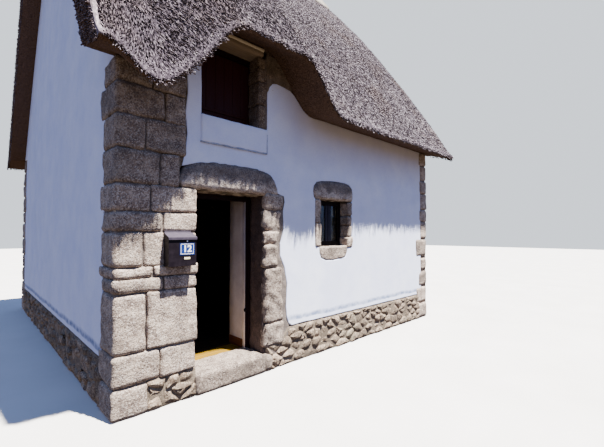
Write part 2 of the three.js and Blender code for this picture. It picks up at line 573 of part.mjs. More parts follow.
piece('letterbox_lid', cut(
  join(
    bar([
      [lidFront - LID.sheet, lidUnder(lidFront) - LID.lip], [lidFront, lidUnder(lidFront) - LID.lip],
      [lidFront, lidUnder(lidFront)], [lidBack, lidUnder(lidBack)], [lidBack, lidTop(lidBack)],
      [lidFront - LID.sheet, lidTop(lidFront)],
    ], BOX.x0 - LID.over, BOX.x1 + LID.over),
    bar([
      [tongueFront, lidUnder(tongueFront) + 0.6], [pin.y, lidUnder(pin.y) + 0.6],
      [pin.y, lidTop(pin.y) - 0.6], [tongueFront, lidTop(tongueFront) - 0.6],
    ], BOX.x0 + LID.inset, BOX.x1 - LID.inset),
    roundAlongX(LID_PIN.knuckle, BOX.x0 + LID.inset, BOX.x1 - LID.inset, pin.y, pin.z)),
  roundAlongX(LID_PIN.radius + 0.4, BOX.x0 - 1, BOX.x1 + 1, pin.y, pin.z)), 'boxPaint');
piece('number_plate', block(
  PLATE.x - PLATE.width / 2, PLATE.x + PLATE.width / 2,
  boxFront - PLATE.thick, boxFront - JOINT,
  PLATE.z - PLATE.height / 2, PLATE.z + PLATE.height / 2), 'enamel');

export default cottage;
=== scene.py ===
"""The looks of a thatched granite cottage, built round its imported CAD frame.

Everything is in metres. The front wall faces -Y, +X runs to the right along it, and +Z is up.
"""

import logging
import math
import random
from collections.abc import Callable, Iterable, Sequence
from dataclasses import dataclass, field
from enum import Enum
from functools import partial

import bmesh
import bpy
import numpy as np
from mathutils import Matrix, Vector, noise


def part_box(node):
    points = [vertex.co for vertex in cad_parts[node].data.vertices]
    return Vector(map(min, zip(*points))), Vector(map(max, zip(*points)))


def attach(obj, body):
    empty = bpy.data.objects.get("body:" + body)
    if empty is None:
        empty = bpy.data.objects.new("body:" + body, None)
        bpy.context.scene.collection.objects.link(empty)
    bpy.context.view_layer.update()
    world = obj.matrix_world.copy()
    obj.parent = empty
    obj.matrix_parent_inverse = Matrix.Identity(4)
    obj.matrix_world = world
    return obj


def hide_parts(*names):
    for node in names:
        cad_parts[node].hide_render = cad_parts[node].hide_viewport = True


Adder = Callable[..., bpy.types.Node]
Area = tuple[float, float, float, float]
Array = np.ndarray
Material = bpy.types.Material
Mesh = bpy.types.Mesh
Node = bpy.types.Node
Outline = Sequence[tuple[float, float]]
Part = bmesh.types.BMesh
Rows = Sequence[tuple[float, float, float]]
Socket = bpy.types.NodeSocket
Spot = Sequence[float]
Tree = bpy.types.NodeTree

LOG = logging.getLogger("cottage")
MM = 0.001
TONE = "tone"
BUTT = "butt"
MIX = {"data_type": "RGBA", "blend_type": "MIX", "clamp_factor": True}
TIMES = {"operation": "MULTIPLY"}
TIMES_PLUS = {"operation": "MULTIPLY_ADD"}

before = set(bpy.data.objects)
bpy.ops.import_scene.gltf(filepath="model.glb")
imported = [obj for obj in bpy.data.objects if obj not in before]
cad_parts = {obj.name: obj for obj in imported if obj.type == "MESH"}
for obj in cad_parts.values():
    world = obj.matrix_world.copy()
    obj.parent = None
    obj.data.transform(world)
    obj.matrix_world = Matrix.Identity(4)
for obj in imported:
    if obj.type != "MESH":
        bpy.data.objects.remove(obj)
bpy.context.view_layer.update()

WALL_LOW, WALL_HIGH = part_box("quoins_front_right")
HALF_LENGTH = WALL_HIGH.x
HALF_DEPTH = -WALL_LOW.y
FACE = -HALF_DEPTH
WALL_TOP = WALL_HIGH.z
WALL_INSIDE = FACE + 0.75
ROOF_LOW, ROOF_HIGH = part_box("thatch_front")
ROOF_HALF = ROOF_HIGH.x
ROOF_RUN = -ROOF_LOW.y
PLINTH_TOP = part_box("front_render")[0].z


class Body(Enum):
    """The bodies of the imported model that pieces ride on."""

    COTTAGE = "cottage"
    DOOR = "door"


class Grain(Enum):
    """The axis that the grain of a timber runs along."""

    ALONG_X = 0
    ALONG_Y = 1
    ALONG_Z = 2


class WallFace(Enum):
    """One outer face of the house: its turn about the vertical and its distance from the middle."""

    FRONT = (0.0, HALF_DEPTH)
    RIGHT = (90.0, HALF_LENGTH)
    BACK = (180.0, HALF_DEPTH)
    LEFT = (-90.0, HALF_LENGTH)

    def plane(self) -> Matrix:
        """The transform from wall coordinates, with x along, y inward and z up, to the house."""
        turn, distance = self.value
        return Matrix.Rotation(math.radians(turn), 4, "Z") @ Matrix.Translation((0, -distance, 0))


def linear(colour: str) -> tuple[float, float, float, float]:
    """Turns an sRGB hex colour into the linear colour that a shader takes.

    Args:
        colour: Six hex digits after a hash sign.

    Returns:
        Red, green, blue and an alpha of 1.
    """
    parts = [int(colour[i:i + 2], 16) / 255 for i in (1, 3, 5)]
    bent = [c / 12.92 if c <= 0.04045 else ((c + 0.055) / 1.055) ** 2.4 for c in parts]
    return (bent[0], bent[1], bent[2], 1.0)


def per_mm(size_mm: float) -> float:
    """The scale of a pattern whose lumps measure a size in millimetres."""
    return 1.0 / (size_mm * MM)


def add_node(
    tree: Tree,
    kind: str,
    settings: dict[str, object] | None = None,
    stops: Sequence[tuple[float, str]] = (),
    **inputs: object,
) -> Node:
    """Adds a node, sets its properties and fills or links its inputs.

    Args:
        tree: The node tree of a material or world.
        kind: The node's type without its ShaderNode prefix.
        settings: Node properties by name.
        stops: The places and hex colours of a colour ramp.
        **inputs: What goes into each input, named with _ for a space or as in_ with its place: a
            socket, a node for its first output, a hex colour or a value.

    Returns:
        The new node.
    """
    node = tree.nodes.new("ShaderNode" + kind)
    for name, value in (settings or {}).items():
        setattr(node, name, value)
    if stops:
        band = node.color_ramp.elements
        while len(band) < len(stops):
            band.new(1.0)
        for element, (place, colour) in zip(band, stops):
            element.position = place
            element.color = linear(colour)
    for name, value in inputs.items():
        socket = node.inputs[int(name[3:]) if name.startswith("in_") else name.replace("_", " ")]
        if isinstance(value, Node):
            value = value.outputs[0]
        if isinstance(value, Socket):
            tree.links.new(value, socket)
        else:
            socket.default_value = linear(value) if isinstance(value, str) else value
    return node


def new_material(name: str) -> tuple[Material, Adder, Socket]:
    """Makes an empty material.

    Args:
        name: The real material's name.

    Returns:
        The material, what adds a node to it, and its object coordinates.
    """
    material = bpy.data.materials.new(name)
    material.use_nodes = True
    material.node_tree.nodes.clear()
    add = partial(add_node, material.node_tree)
    return material, add, add("TexCoord").outputs["Object"]


def toned(add: Adder, colour: Socket | Node, share: float) -> Node:
    """Darkens or lightens a colour by the tone that each stone, board or reed carries.

    Args:
        add: Adds a node to the material.
        colour: The colour so far.
        share: How far the darkest and lightest tones change it.

    Returns:
        The node with the new colour.
    """
    tone = add("Attribute", {"attribute_name": TONE}).outputs["Fac"]
    level = add("MapRange", Value=tone, To_Min=1.0 - share, To_Max=1.0 + share)
    return add("HueSaturation", Value=level, Color=colour)


def end_surface(add: Adder, relief: tuple[Node, float, float] | None = None, **inputs: object) -> None:
    """Ends a material with its surface shader and output.

    Args:
        add: Adds a node to the material.
        relief: A height, how strongly it shows and its depth in millimetres.
        **inputs: What goes into the shader's inputs.
    """
    if relief:
        height, strength, depth_mm = relief
        inputs["Normal"] = add("Bump", Height=height, Strength=strength, Distance=depth_mm * MM)
    add("OutputMaterial", Surface=add("BsdfPrincipled", **inputs))


@dataclass(frozen=True)
class Mineral:
    """Stone, mortar, lime render or plaster, with patches, grains, pits and stains."""

    name: str
    slot: str
    dark: str
    middle: str
    light: str
    patch_mm: float
    grain_mm: float
    grain_dark: str
    grain_light: str
    grain_share: float
    pit_mm: float
    pit_depth_mm: float
    stain: str
    stain_share: float
    stain_mm: float = 420.0
    roughness: float = 0.92
    tone_share: float = 0.0
    # Whether the wall gets the painted brown shade under the eave and the bluish foot band.
    eave_shade_and_foot_band: bool = False
    gloss: float = 0.3
    # The heights over which lichen and a painted shadow of the thatch darken the stone, with their colour and
    # share.
    lichen_and_painted_shade: tuple[float, float] = (0.0, 0.0)
    lichen_and_shade_colour: str = "#2f2e37"
    lichen_and_shade_share: float = 0.62
    # The colour of the painted shade under the eave.
    eave_shade_colour: str = "#a8927c"
    band_colour: str = "#7f8cab"

    def make(self) -> Material:
        """Builds the node material.

        Returns:
            The material.
        """
        material, add, place = new_material(self.name)
        patches = add("TexNoise", Vector=place, Scale=per_mm(self.patch_mm), Detail=4.0, Roughness=0.6)
        stops = [(0.32, self.dark), (0.5, self.middle), (0.68, self.light)]
        colour = add("ValToRGB", stops=stops, Fac=patches)
        grains = add("TexVoronoi", Vector=place, Scale=per_mm(self.grain_mm)).outputs["Color"]
        pick = add("SeparateColor", Color=grains).outputs
        stains = add("TexNoise", Vector=place, Scale=per_mm(self.stain_mm), Detail=5.0, Roughness=0.65)
        for value, low, high, most, over in (
            (pick[0], 0.72, 0.8, self.grain_share, self.grain_dark),
            (pick[1], 0.66, 0.78, self.grain_share, self.grain_light),
            (stains, 0.52, 0.66, self.stain_share, self.stain),
        ):
            share = add("MapRange", Value=value, From_Min=low, From_Max=high, To_Max=most)
            colour = add("Mix", MIX, in_0=share, in_6=colour, in_7=over).outputs[2]
        if self.tone_share:
            colour = toned(add, colour, self.tone_share)
        # Darker above a ragged height: lichen, and a painted shadow of the thatch on the lintels.
        if self.lichen_and_painted_shade[1]:
            low, high = self.lichen_and_painted_shade
            height = add("SeparateXYZ", Vector=place).outputs["Z"]
            ragged = add("Math", TIMES_PLUS, in_0=stains, in_1=0.3, in_2=height)
            lichen_and_shade = add("MapRange", Value=ragged, From_Min=low, From_Max=high, To_Max=self.lichen_and_shade_share)
            colour = add("Mix", MIX, in_0=lichen_and_shade, in_6=colour, in_7=self.lichen_and_shade_colour).outputs[2]
        if self.eave_shade_and_foot_band:
            colour = self._eave_shade_and_foot_band(add, place, colour)
        pits = add("TexNoise", Vector=place, Scale=per_mm(self.pit_mm), Detail=4.0, Roughness=0.7)
        fine = add(
            "TexNoise", Vector=place, Scale=per_mm(self.grain_mm * 1.5), Detail=2.0, Roughness=0.55)
        height = add("Math", TIMES_PLUS, in_0=fine, in_1=0.25, in_2=pits)
        rough = add(
            "MapRange", Value=pits, From_Min=0.3, From_Max=0.7, To_Min=self.roughness - 0.08,
            To_Max=min(1.0, self.roughness + 0.06))
        end_surface(
            add, (height, 0.9, self.pit_depth_mm), Base_Color=colour, Roughness=rough,
            Specular_IOR_Level=self.gloss)
        return material

    def _eave_shade_and_foot_band(self, add: Adder, place: Socket, colour: Socket) -> Socket:
        """Adds painted brown shade under the eave, right of the door, and the bluish band left by the last
        trowelling at the foot.

        Args:
            add: Adds a node to the material.
            place: The coordinates.
            colour: The wall's colour so far.

        Returns:
            The colour with both.
        """
        apart = add("SeparateXYZ", Vector=place).outputs
        height = apart["Z"]
        # Painted brown shade right of the door, strongest just under the eave.
        under_eave = add(
            "MapRange", Value=height, From_Min=WALL_TOP - 0.75, From_Max=WALL_TOP - 0.1, To_Max=0.42)
        beside = add("MapRange", Value=apart["X"], From_Min=-1.2, From_Max=-0.6)
        eave_shade = add("Math", TIMES, in_0=under_eave, in_1=beside)
        colour = add("Mix", MIX, in_0=eave_shade, in_6=colour, in_7=self.eave_shade_colour).outputs[2]
        ragged = add("TexNoise", Vector=place, Scale=per_mm(260.0), Detail=3.0, Roughness=0.55)
        lifted = add("Math", TIMES_PLUS, in_0=ragged, in_1=-0.07, in_2=height)
        rise = add("MapRange", Value=lifted, From_Min=PLINTH_TOP + 0.01, From_Max=PLINTH_TOP + 0.03)
        fade = add(
            "MapRange", Value=lifted, From_Min=PLINTH_TOP + 0.055, From_Max=PLINTH_TOP + 0.095,
            To_Min=1.0, To_Max=0.0)
        both = add("Math", TIMES, in_0=rise, in_1=fade)
        spots = add("TexNoise", Vector=place, Scale=per_mm(90.0), Detail=4.0, Roughness=0.55)
        flecks = add("MapRange", Value=spots, From_Min=0.4, From_Max=0.6, To_Min=0.55)
        share = add("Math", TIMES, in_0=both, in_1=flecks)
        return add("Mix", MIX, in_0=share, in_6=colour, in_7=self.band_colour).outputs[2]


@dataclass(frozen=True)
class Timber:
    """Sawn or hewn wood, bare or painted, with its grain along one axis."""

    name: str
    slot: str
    dark: str
    light: str
    grain: Grain
    grain_mm: float = 7.0
    length_mm: float = 420.0
    depth_mm: float = 1.2
    roughness: float = 0.75
    paint: str | None = None
    paint_share: float = 0.0
    tone_share: float = 0.0
    gloss: float = 0.3

    def make(self) -> Material:
        """Builds the node material.

        Returns:
            The material.
        """
        material, add, place = new_material(self.name)
        scale = [per_mm(self.grain_mm)] * 3
        scale[self.grain.value] = per_mm(self.length_mm)
        drawn = add("Mapping", Vector=place, Scale=scale)
        fibres = add("TexNoise", Vector=drawn, Scale=1.0, Detail=4.0, Roughness=0.6)
        broad = add("Mapping", Vector=place, Scale=[value / 6.0 for value in scale])
        figure = add("TexNoise", Vector=broad, Scale=1.0, Detail=3.0, Distortion=0.8)
        colour = add("ValToRGB", stops=[(0.3, self.dark), (0.7, self.light)], Fac=fibres)
        share = add("MapRange", Value=figure, From_Min=0.42, From_Max=0.6, To_Max=0.45)
        colour = add("Mix", MIX, in_0=share, in_6=colour, in_7=self.dark).outputs[2]
        if self.tone_share:
            colour = toned(add, colour, self.tone_share)
        if self.paint:
            wear = add("TexNoise", Vector=place, Scale=per_mm(60.0), Detail=5.0, Roughness=0.7)
            kept = add(
                "MapRange", Value=wear, From_Min=0.34, From_Max=0.42,
                To_Min=self.paint_share * 0.6, To_Max=self.paint_share)
            colour = add("Mix", MIX, in_0=kept, in_6=colour, in_7=self.paint).outputs[2]
        rough = add(
            "MapRange", Value=figure, From_Min=0.3, From_Max=0.7, To_Min=self.roughness - 0.1,
            To_Max=self.roughness + 0.1)
        end_surface(
            add, (fibres, 0.8, self.depth_mm), Base_Color=colour, Roughness=rough,
            Specular_IOR_Level=self.gloss)
        return material


@dataclass(frozen=True)
class Metalwork:
    """Iron, painted sheet steel, vitreous enamel or the card behind a clear cover."""

    name: str
    slot: str
    base: str
    worn: str
    wear_mm: float
    wear_share: float
    metallic: float
    roughness: float
    dent_mm: float
    dent_depth_mm: float
    coat: float = 0.0
    gloss: float = 0.5

    def make(self) -> Material:
        """Builds the node material.

        Returns:
            The material.
        """
        material, add, place = new_material(self.name)
        wear = add("TexNoise", Vector=place, Scale=per_mm(self.wear_mm), Detail=5.0, Roughness=0.65)
        share = add("MapRange", Value=wear, From_Min=0.5, From_Max=0.68, To_Max=self.wear_share)
        colour = add("Mix", MIX, in_0=share, in_6=self.base, in_7=self.worn).outputs[2]
        dents = add("TexNoise", Vector=place, Scale=per_mm(self.dent_mm), Detail=3.0, Roughness=0.55)
        rough = add(
            "MapRange", Value=wear, From_Min=0.35, From_Max=0.7, To_Min=self.roughness,
            To_Max=min(1.0, self.roughness + 0.25))
        end_surface(
            add, (dents, 0.7, self.dent_depth_mm), Base_Color=colour, Roughness=rough,
            Metallic=self.metallic, Coat_Weight=self.coat, Specular_IOR_Level=self.gloss)
        return material


@dataclass(frozen=True)
class ReedThatch:
    """Weathered water reed: lilac-grey tips with dark gaps of painted shade, warm patches, and brown butts
    underneath.
    """

    name: str = "weathered_water_reed"
    slot: str = "reed_thatch"
    # The gap and shaded colours are painted shade between and under the reed tips.
    gap: str = "#0e0a0e"
    shaded: str = "#3a3239"
    tip: str = "#8d8288"
    bright: str = "#eadfe2"
    warm: str = "#e6d0b0"
    butt: str = "#3e2f27"
    butt_light: str = "#7c6452"
    reed_mm: float = 9.0
    reed_length_mm: float = 55.0
    pitch_deg: float = 54.0

    def make(self) -> Material:
        """Builds the node material.

        Returns:
            The material.
        """
        material, add, place = new_material(self.name)
        tone = add("Attribute", {"attribute_name": TONE}).outputs["Fac"]
        patches = add("TexNoise", Vector=place, Scale=per_mm(700.0), Detail=4.0, Roughness=0.6)
        fine = add("TexNoise", Vector=place, Scale=per_mm(self.reed_mm * 2.0), Detail=2.0, Roughness=0.55)
        inside = add("Attribute", {"attribute_name": BUTT}).outputs["Fac"]
        # Faces turned downward take the brown butt colour: the real butts under the eave, and painted shade
        # on the undersides of the reed tips.
        facing = add("NewGeometry").outputs["Normal"]
        upward = add("SeparateXYZ", Vector=facing).outputs["Z"]
        downward_butts_and_shade = add("MapRange", Value=upward, From_Min=-0.65, From_Max=-0.3, To_Min=1.0, To_Max=0.0)
        under = add("Math", {"operation": "MAXIMUM"}, in_0=inside, in_1=downward_butts_and_shade)
        turned = add(
            "VectorRotate", {"rotation_type": "X_AXIS"}, Vector=place,
            Angle=-math.radians(self.pitch_deg))
        across = per_mm(self.reed_mm)
        drawn = add("Mapping", Vector=turned, Scale=(across, per_mm(self.reed_length_mm), across))
        streaks = add("TexNoise", Vector=drawn, Scale=1.0, Detail=3.0)
        mixed = add("Math", TIMES_PLUS, in_0=fine, in_1=0.5, in_2=tone)
        streaked = add("Math", TIMES_PLUS, in_0=streaks, in_1=0.9, in_2=mixed)
        level = add("Math", {"operation": "SUBTRACT"}, in_0=streaked, in_1=0.7)
        stops = [(0.0, self.gap), (0.3, self.shaded), (0.68, self.tip), (1.0, self.bright)]
        colour = add("ValToRGB", stops=stops, Fac=level)
        warmth = add("MapRange", Value=patches, From_Min=0.52, From_Max=0.68, To_Max=0.4)
        tint = MIX | {"blend_type": "MULTIPLY"}
        colour = add("Mix", tint, in_0=warmth, in_6=colour, in_7=self.warm).outputs[2]
        butts = add("ValToRGB", stops=[(0.35, self.butt), (0.72, self.butt_light)], Fac=streaks)
        colour = add("Mix", MIX, in_0=under, in_6=colour, in_7=butts).outputs[2]
        end_surface(add, (streaks, 1.0, 6.0), Base_Color=colour, Roughness=0.95, Specular_IOR_Level=0.1)
        return material


@dataclass(frozen=True)
class WindowGlass:
    """Old drawn glass: clear and slightly wavy, so that it throws an uneven reflection."""

    name: str = "drawn_window_glass"
    slot: str = "window_glass"

    def make(self) -> Material:
        """Builds the node material.

        Returns:
            The material.
        """
        material, add, place = new_material(self.name)
        waves = add("TexNoise", Vector=place, Scale=per_mm(90.0), Detail=2.0, Roughness=0.55)
        specks = add("TexNoise", Vector=place, Scale=per_mm(40.0), Detail=5.0, Roughness=0.55)
        dust = add("MapRange", Value=specks, From_Min=0.4, From_Max=0.7, To_Min=0.01, To_Max=0.09)
        end_surface(
            add, (waves, 0.3, 2.0), Base_Color="#aab4b2", Transmission_Weight=1.0, IOR=1.52,
            Specular_IOR_Level=0.25, Roughness=dust)
        return material


# Coarse grey-pink granite, split and dressed: pale feldspar, black mica and a rough, pitted skin.
DRESSED_GRANITE = Mineral(
    "dressed_granite", "dressed_granite", "#6e5f56", "#918072", "#b09f8e", 90.0,
    9.0, "#443b37", "#d0c4b6", 0.55, 30.0, 14.0, "#5d5248", 0.5, tone_share=0.22)
# The same granite for the lintels, darker on its upper part: dark lichen where the rain off the thatch
# reaches, and a painted shadow of the thatch.
LINTEL_GRANITE = Mineral(
    "lichened_granite_painted_shade", "dressed_granite", "#7f7067", "#a8988b", "#d0c2b4", 90.0,
    9.0, "#544a45", "#e4dacd", 0.5, 30.0, 14.0, "#6b6056", 0.4, 160.0, tone_share=0.22, lichen_and_painted_shade=(2.285, 2.37))
# The same granite, trodden and darkened by rain: the door sill.
TRODDEN_GRANITE = Mineral(
    "trodden_granite", "dressed_granite", "#564a43", "#74665b", "#8f8072", 90.0,
    9.0, "#3a322e", "#b3a698", 0.55, 30.0, 12.0, "#4c433b", 0.5, tone_share=0.22)
# Field granite of the foot: warm, earth-stained stones with lichen, rougher than the dressed ones.
RUBBLE_GRANITE = Mineral(
    "rubble_granite", "rubble_granite", "#544538", "#716050", "#8d7b68", 90.0,
    10.0, "#463a31", "#b3a592", 0.5, 24.0, 11.0, "#6c6c5a", 0.35, tone_share=0.28)
# Earth and lime mortar deep between the stones: brown-grey, sandy and in shadow.
BEDDING_MORTAR = Mineral(
    "earth_lime_mortar", "rubble_granite", "#514538", "#6d6051", "#857766", 140.0,
    6.0, "#3b332c", "#9c8f7f", 0.4, 14.0, 6.0, "#4a3f34", 0.45)
# Lime and sand mortar that points the dressed stones: grey-brown, gritty.
POINTING_MORTAR = Mineral(
    "lime_pointing", "dressed_granite", "#4f4641", "#665c55", "#7b7068", 110.0,
    5.0, "#433a35", "#958a80", 0.4, 14.0, 5.0, "#483f39", 0.5)
# Limewash over a floated render: bright, chalky, with faint float marks and a blue-grey cast.
LIMEWASH = Mineral(
    "limewash_on_render", "limewash", "#d8def8", "#e1e7fc", "#eaefff", 380.0,
    7.0, "#ccd3ec", "#f3f6ff", 0.2, 240.0, 2.5, "#d5dbee", 0.35, 520.0, 0.9, eave_shade_and_foot_band=True)
# Painted shadow under and beside the proud sill block of the loft: a blue-grey strip, rough and dull.
SILL_SHADOW_STRIP = Mineral(
    "painted_sill_shadow", "limewash", "#7d86a0", "#99a2ba", "#b4bcd0", 60.0,
    5.0, "#5a637c", "#c4cbdc", 0.4, 12.0, 4.0, "#59627a", 0.6, 90.0)
# Smoke-brown wash over the smooth reveal beside the frame.
BROWN_WASH = Mineral(
    "brown_reveal_wash", "dressed_granite", "#382c29", "#4a3c37", "#5d4d46", 120.0,
    6.0, "#2a2120", "#786860", 0.35, 34.0, 9.0, "#2f282b", 0.5, 200.0, 0.85)
# Smooth old gypsum and lime plaster of the embrasure: warm, pale, hardly any relief.
EMBRASURE_PLASTER = Mineral(
    "embrasure_plaster", "limewash", "#bfb3b0", "#cdc2bf", "#d8cecb", 300.0,
    6.0, "#ad9f9a", "#e0d6d2", 0.15, 60.0, 1.0, "#ab9d97", 0.3, 500.0, 0.85)
# Lime mortar of the ridge: weathered grey, cracked, with lichen.
RIDGE_MORTAR = Mineral(
    "ridge_mortar", "ridge_mortar", "#6a645a", "#827b70", "#989184", 160.0,
    7.0, "#554f46", "#aca598", 0.4, 30.0, 6.0, "#6f7360", 0.5)
# Old oak, hewn and unpainted: grey-brown outside, with open shakes along the grain.
WEATHERED_OAK = Timber(
    "weathered_oak", "old_oak", "#7d6c58", "#b5a288", Grain.ALONG_X, 9.0, 500.0, 4.0, 0.85, tone_share=0.3)
# The same oak, pale and chalky along the beam's upper front edge: a painted highlight, partly limewash run
# over it, with the grain showing through.
OAK_PAINTED_HIGHLIGHT = Timber("oak_painted_highlight", "old_oak", "#cbbd9f", "#f6ecd4", Grain.ALONG_X, 9.0, 500.0, 4.0, 0.9)
# Smoke-brown oak of the beams under the loft.
BEAM_OAK = Timber("beam_oak", "old_oak", "#2c1e16", "#50382a", Grain.ALONG_Y, 9.0, 600.0, 3.0, 0.8)
# Softwood under dark red-brown gloss paint that has gone dull: brush marks along the grain.
DARK_RED_UPRIGHT = Timber(
    "dark_red_paint_upright", "dark_red_paint", "#160b0a", "#2c1814", Grain.ALONG_Z, 5.0, 400.0, 0.8, 0.5,
    "#1b090c", 0.9, gloss=0.12)
DARK_RED_LEVEL = Timber(
    "dark_red_paint_level", "dark_red_paint", "#24100c", "#3c1e17", Grain.ALONG_X, 5.0, 400.0, 0.8, 0.5,
    "#3a1711", 0.9, gloss=0.12)
# The hatch: the same paint, bleached to maroon.
HATCH_PAINT = Timber(
    "maroon_hatch_paint", "dark_red_paint", "#2b1311", "#46211c", Grain.ALONG_Z, 5.0, 400.0, 0.8, 0.5,
    "#351413", 0.9, gloss=0.12)
# The low skirting in the doorway: red-brown stain on pine.
SKIRTING_STAIN = Timber(
    "red_brown_stain", "floor_boards", "#54301c", "#7c4a2c", Grain.ALONG_Y, 7.0, 500.0, 0.6, 0.6)
# The room's floor beyond the doorway: old oak boards, nearly black, as painted shade where the sun doesn't
# reach.
ROOM_FLOOR_PAINTED_SHADE = Timber(
    "room_floor_painted_shade", "floor_boards", "#1e140c", "#3a291a", Grain.ALONG_X, 8.0, 700.0, 0.6, 0.6,
    tone_share=0.15)
# The window frame: the same paint, blackened by soot and old oil.
SOOTED_PAINT = Timber(
    "sooted_frame_paint", "dark_red_paint", "#0d0807", "#1c1210", Grain.ALONG_Z, 5.0, 400.0, 0.8, 0.6,
    "#110909", 0.85, gloss=0.12)
# The window's meeting stiles: the same softwood under old blue-grey paint.
BLUE_GREY_STILE = Timber(
    "blue_grey_stile_paint", "dark_red_paint", "#131217", "#25242c", Grain.ALONG_Z, 5.0, 300.0, 0.8, 0.5,
    "#292935", 0.8, gloss=0.1)
# Waxed pine boards: honey yellow, darker at the knots and between boards.
PINE_BOARDS = Timber(
    "waxed_pine_boards", "floor_boards", "#5e4406", "#8f7012", Grain.ALONG_X, 8.0, 700.0, 0.6, 0.55,
    tone_share=0.15)
# Forged iron with old black paint: nearly matt, brown where it rusts.
BLACK_IRON = Metalwork(
    "forged_black_iron", "black_iron", "#26231f", "#4a3226", 25.0, 0.6, 0.85, 0.5, 14.0, 0.8)
# Stoved paint on folded sheet steel: plum-black, even, with fine orange peel and dust.
BOX_PAINT = Metalwork(
    "stoved_box_paint", "box_paint", "#100910", "#201620", 55.0, 0.3, 0.0, 0.45, 3.0, 0.15, gloss=0.15)
# The same paint on the lid, bleached and chalky from the sun, which falls on it all day.
LID_PAINT = Metalwork(
    "bleached_lid_paint", "box_paint", "#352e3a", "#4c454f", 45.0, 0.5, 0.0, 0.55, 3.0, 0.2, gloss=0.3)
# Vitreous enamel on steel: glassy, deep blue, with a few dull spots.
BLUE_ENAMEL = Metalwork(
    "blue_vitreous_enamel", "blue_enamel", "#112a68", "#203b78", 20.0, 0.3, 0.0, 0.12, 6.0, 0.1, 0.6)
# The same enamel in white for the rim and figures.
WHITE_ENAMEL = Metalwork(
    "white_vitreous_enamel", "blue_enamel", "#eef1f6", "#d5d9e2", 20.0, 0.3, 0.0, 0.14, 6.0, 0.1, 0.5)
# Cream card behind a clear cover, left bare.
CREAM_CARD = Metalwork("cream_card", "box_paint", "#efe3b4", "#d9cb98", 12.0, 0.3, 0.0, 0.45, 4.0, 0.05, 0.2)
REED = ReedThatch()
GLASS = WindowGlass()

Finish = Mineral | Timber | Metalwork | ReedThatch | WindowGlass
_MADE: dict[str, Material] = {}


def material_for(finish: Finish) -> Material:
    """The one material of a finish, made the first time it is asked for.

    Args:
        finish: The finish.

    Returns:
        Its material.
    """
    if finish.name not in _MADE:
        _MADE[finish.name] = finish.make()
    return _MADE[finish.name]


def add_piece(
    name: str,
    mesh: Mesh,
    finish: Finish,
    body: Body = Body.COTTAGE,
    stands_for: Sequence[str] = (),
) -> None:
    """Puts a finished mesh in the scene on its body and in its finish.

    Args:
        name: The piece's name.
        mesh: The mesh, with its place in its points.
        finish: What it is made of.
        body: The body it rides on.
        stands_for: The CAD nodes that it replaces.
    """
    piece = bpy.data.objects.new(name, mesh)
    bpy.context.scene.collection.objects.link(piece)
    mesh.materials.clear()
    mesh.materials.append(material_for(finish))
    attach(piece, body.value)
    if stands_for:
        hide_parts(*stands_for)
    LOG.info("%s: %d faces on %s", name, len(mesh.polygons), body.value)


class Heap:
    """Collects small closed parts that end as one mesh, each with its own tone."""

    def __init__(self) -> None:
        """Starts empty."""
        self.points: list[tuple[float, float, float]] = []
        self.faces: list[list[int]] = []
        self.tones: list[float] = []

    def add(self, part: Part, tone: float = 0.5, place: Matrix | None = None) -> None:
        """Takes a part in and frees it.

        Args:
            part: The closed part.
            tone: Its tone, from dark 0 to light 1.
            place: Where it goes, if it isn't in place yet.
        """
        if place is not None:
            bmesh.ops.transform(part, matrix=place, verts=part.verts[:])
        start = len(self.points)
        part.verts.index_update()
        self.points.extend(tuple(vert.co) for vert in part.verts)
        self.faces.extend([start + vert.index for vert in face.verts] for face in part.faces)
        self.tones.extend([tone] * len(part.verts))
        part.free()

    def mesh(self, smooth: bool = True) -> Mesh:
        """Joins what was collected.

        Args:
            smooth: Whether its faces shade smoothly.

        Returns:
            The joined mesh.
        """
        mesh = bpy.data.meshes.new("joined")
        mesh.from_pydata(self.points, [], self.faces)
        mesh.attributes.new(TONE, "FLOAT", "POINT").data.foreach_set("value", self.tones)
        mesh.polygons.foreach_set("use_smooth", [smooth] * len(mesh.polygons))
        mesh.validate()
        return mesh


def one_mesh(*parts: Part, tone: float = 0.5, place: Matrix | None = None, smooth: bool = True) -> Mesh:
    """Joins parts of one tone.

    Args:
        *parts: The closed parts.
        tone: Their tone, from dark 0 to light 1.
        place: Where they go, if they aren't in place yet.
        smooth: Whether their faces shade smoothly.

    Returns:
        The joined mesh.
    """
    heap = Heap()
    for part in parts:
        heap.add(part, tone, place)
    return heap.mesh(smooth)


def keep_mesh(part: Part, name: str) -> Mesh:
    """Turns a part into a mesh and frees it.

    Args:
        part: The part.
        name: The mesh's name.

    Returns:
        The mesh.
    """
    mesh = bpy.data.meshes.new(name)
    part.to_mesh(mesh)
    part.free()
    return mesh


def roughen(part: Part, depth: float, lump: float, seed: float, cell: float = 0.0) -> None:
    """Moves the points of a part in and out, as a worn or split surface lies.

    Args:
        part: The part to change.
        depth: The greatest shift in metres.
        lump: The size of a lump in metres.
        seed: Shifts the pattern.
        cell: The distance between the planes that cut its flat faces first, or 0 for none.
    """
    if cell:
        slice_up(part, cell)
    part.normal_update()
    offset = Vector((seed * 3.7, seed * 1.9, seed * 5.3))
    for vert in part.verts:
        broad = noise.noise(vert.co / lump + offset)
        fine = noise.noise(vert.co / (lump * 0.3) + offset)
        vert.co += vert.normal * depth * (broad + 0.35 * fine)


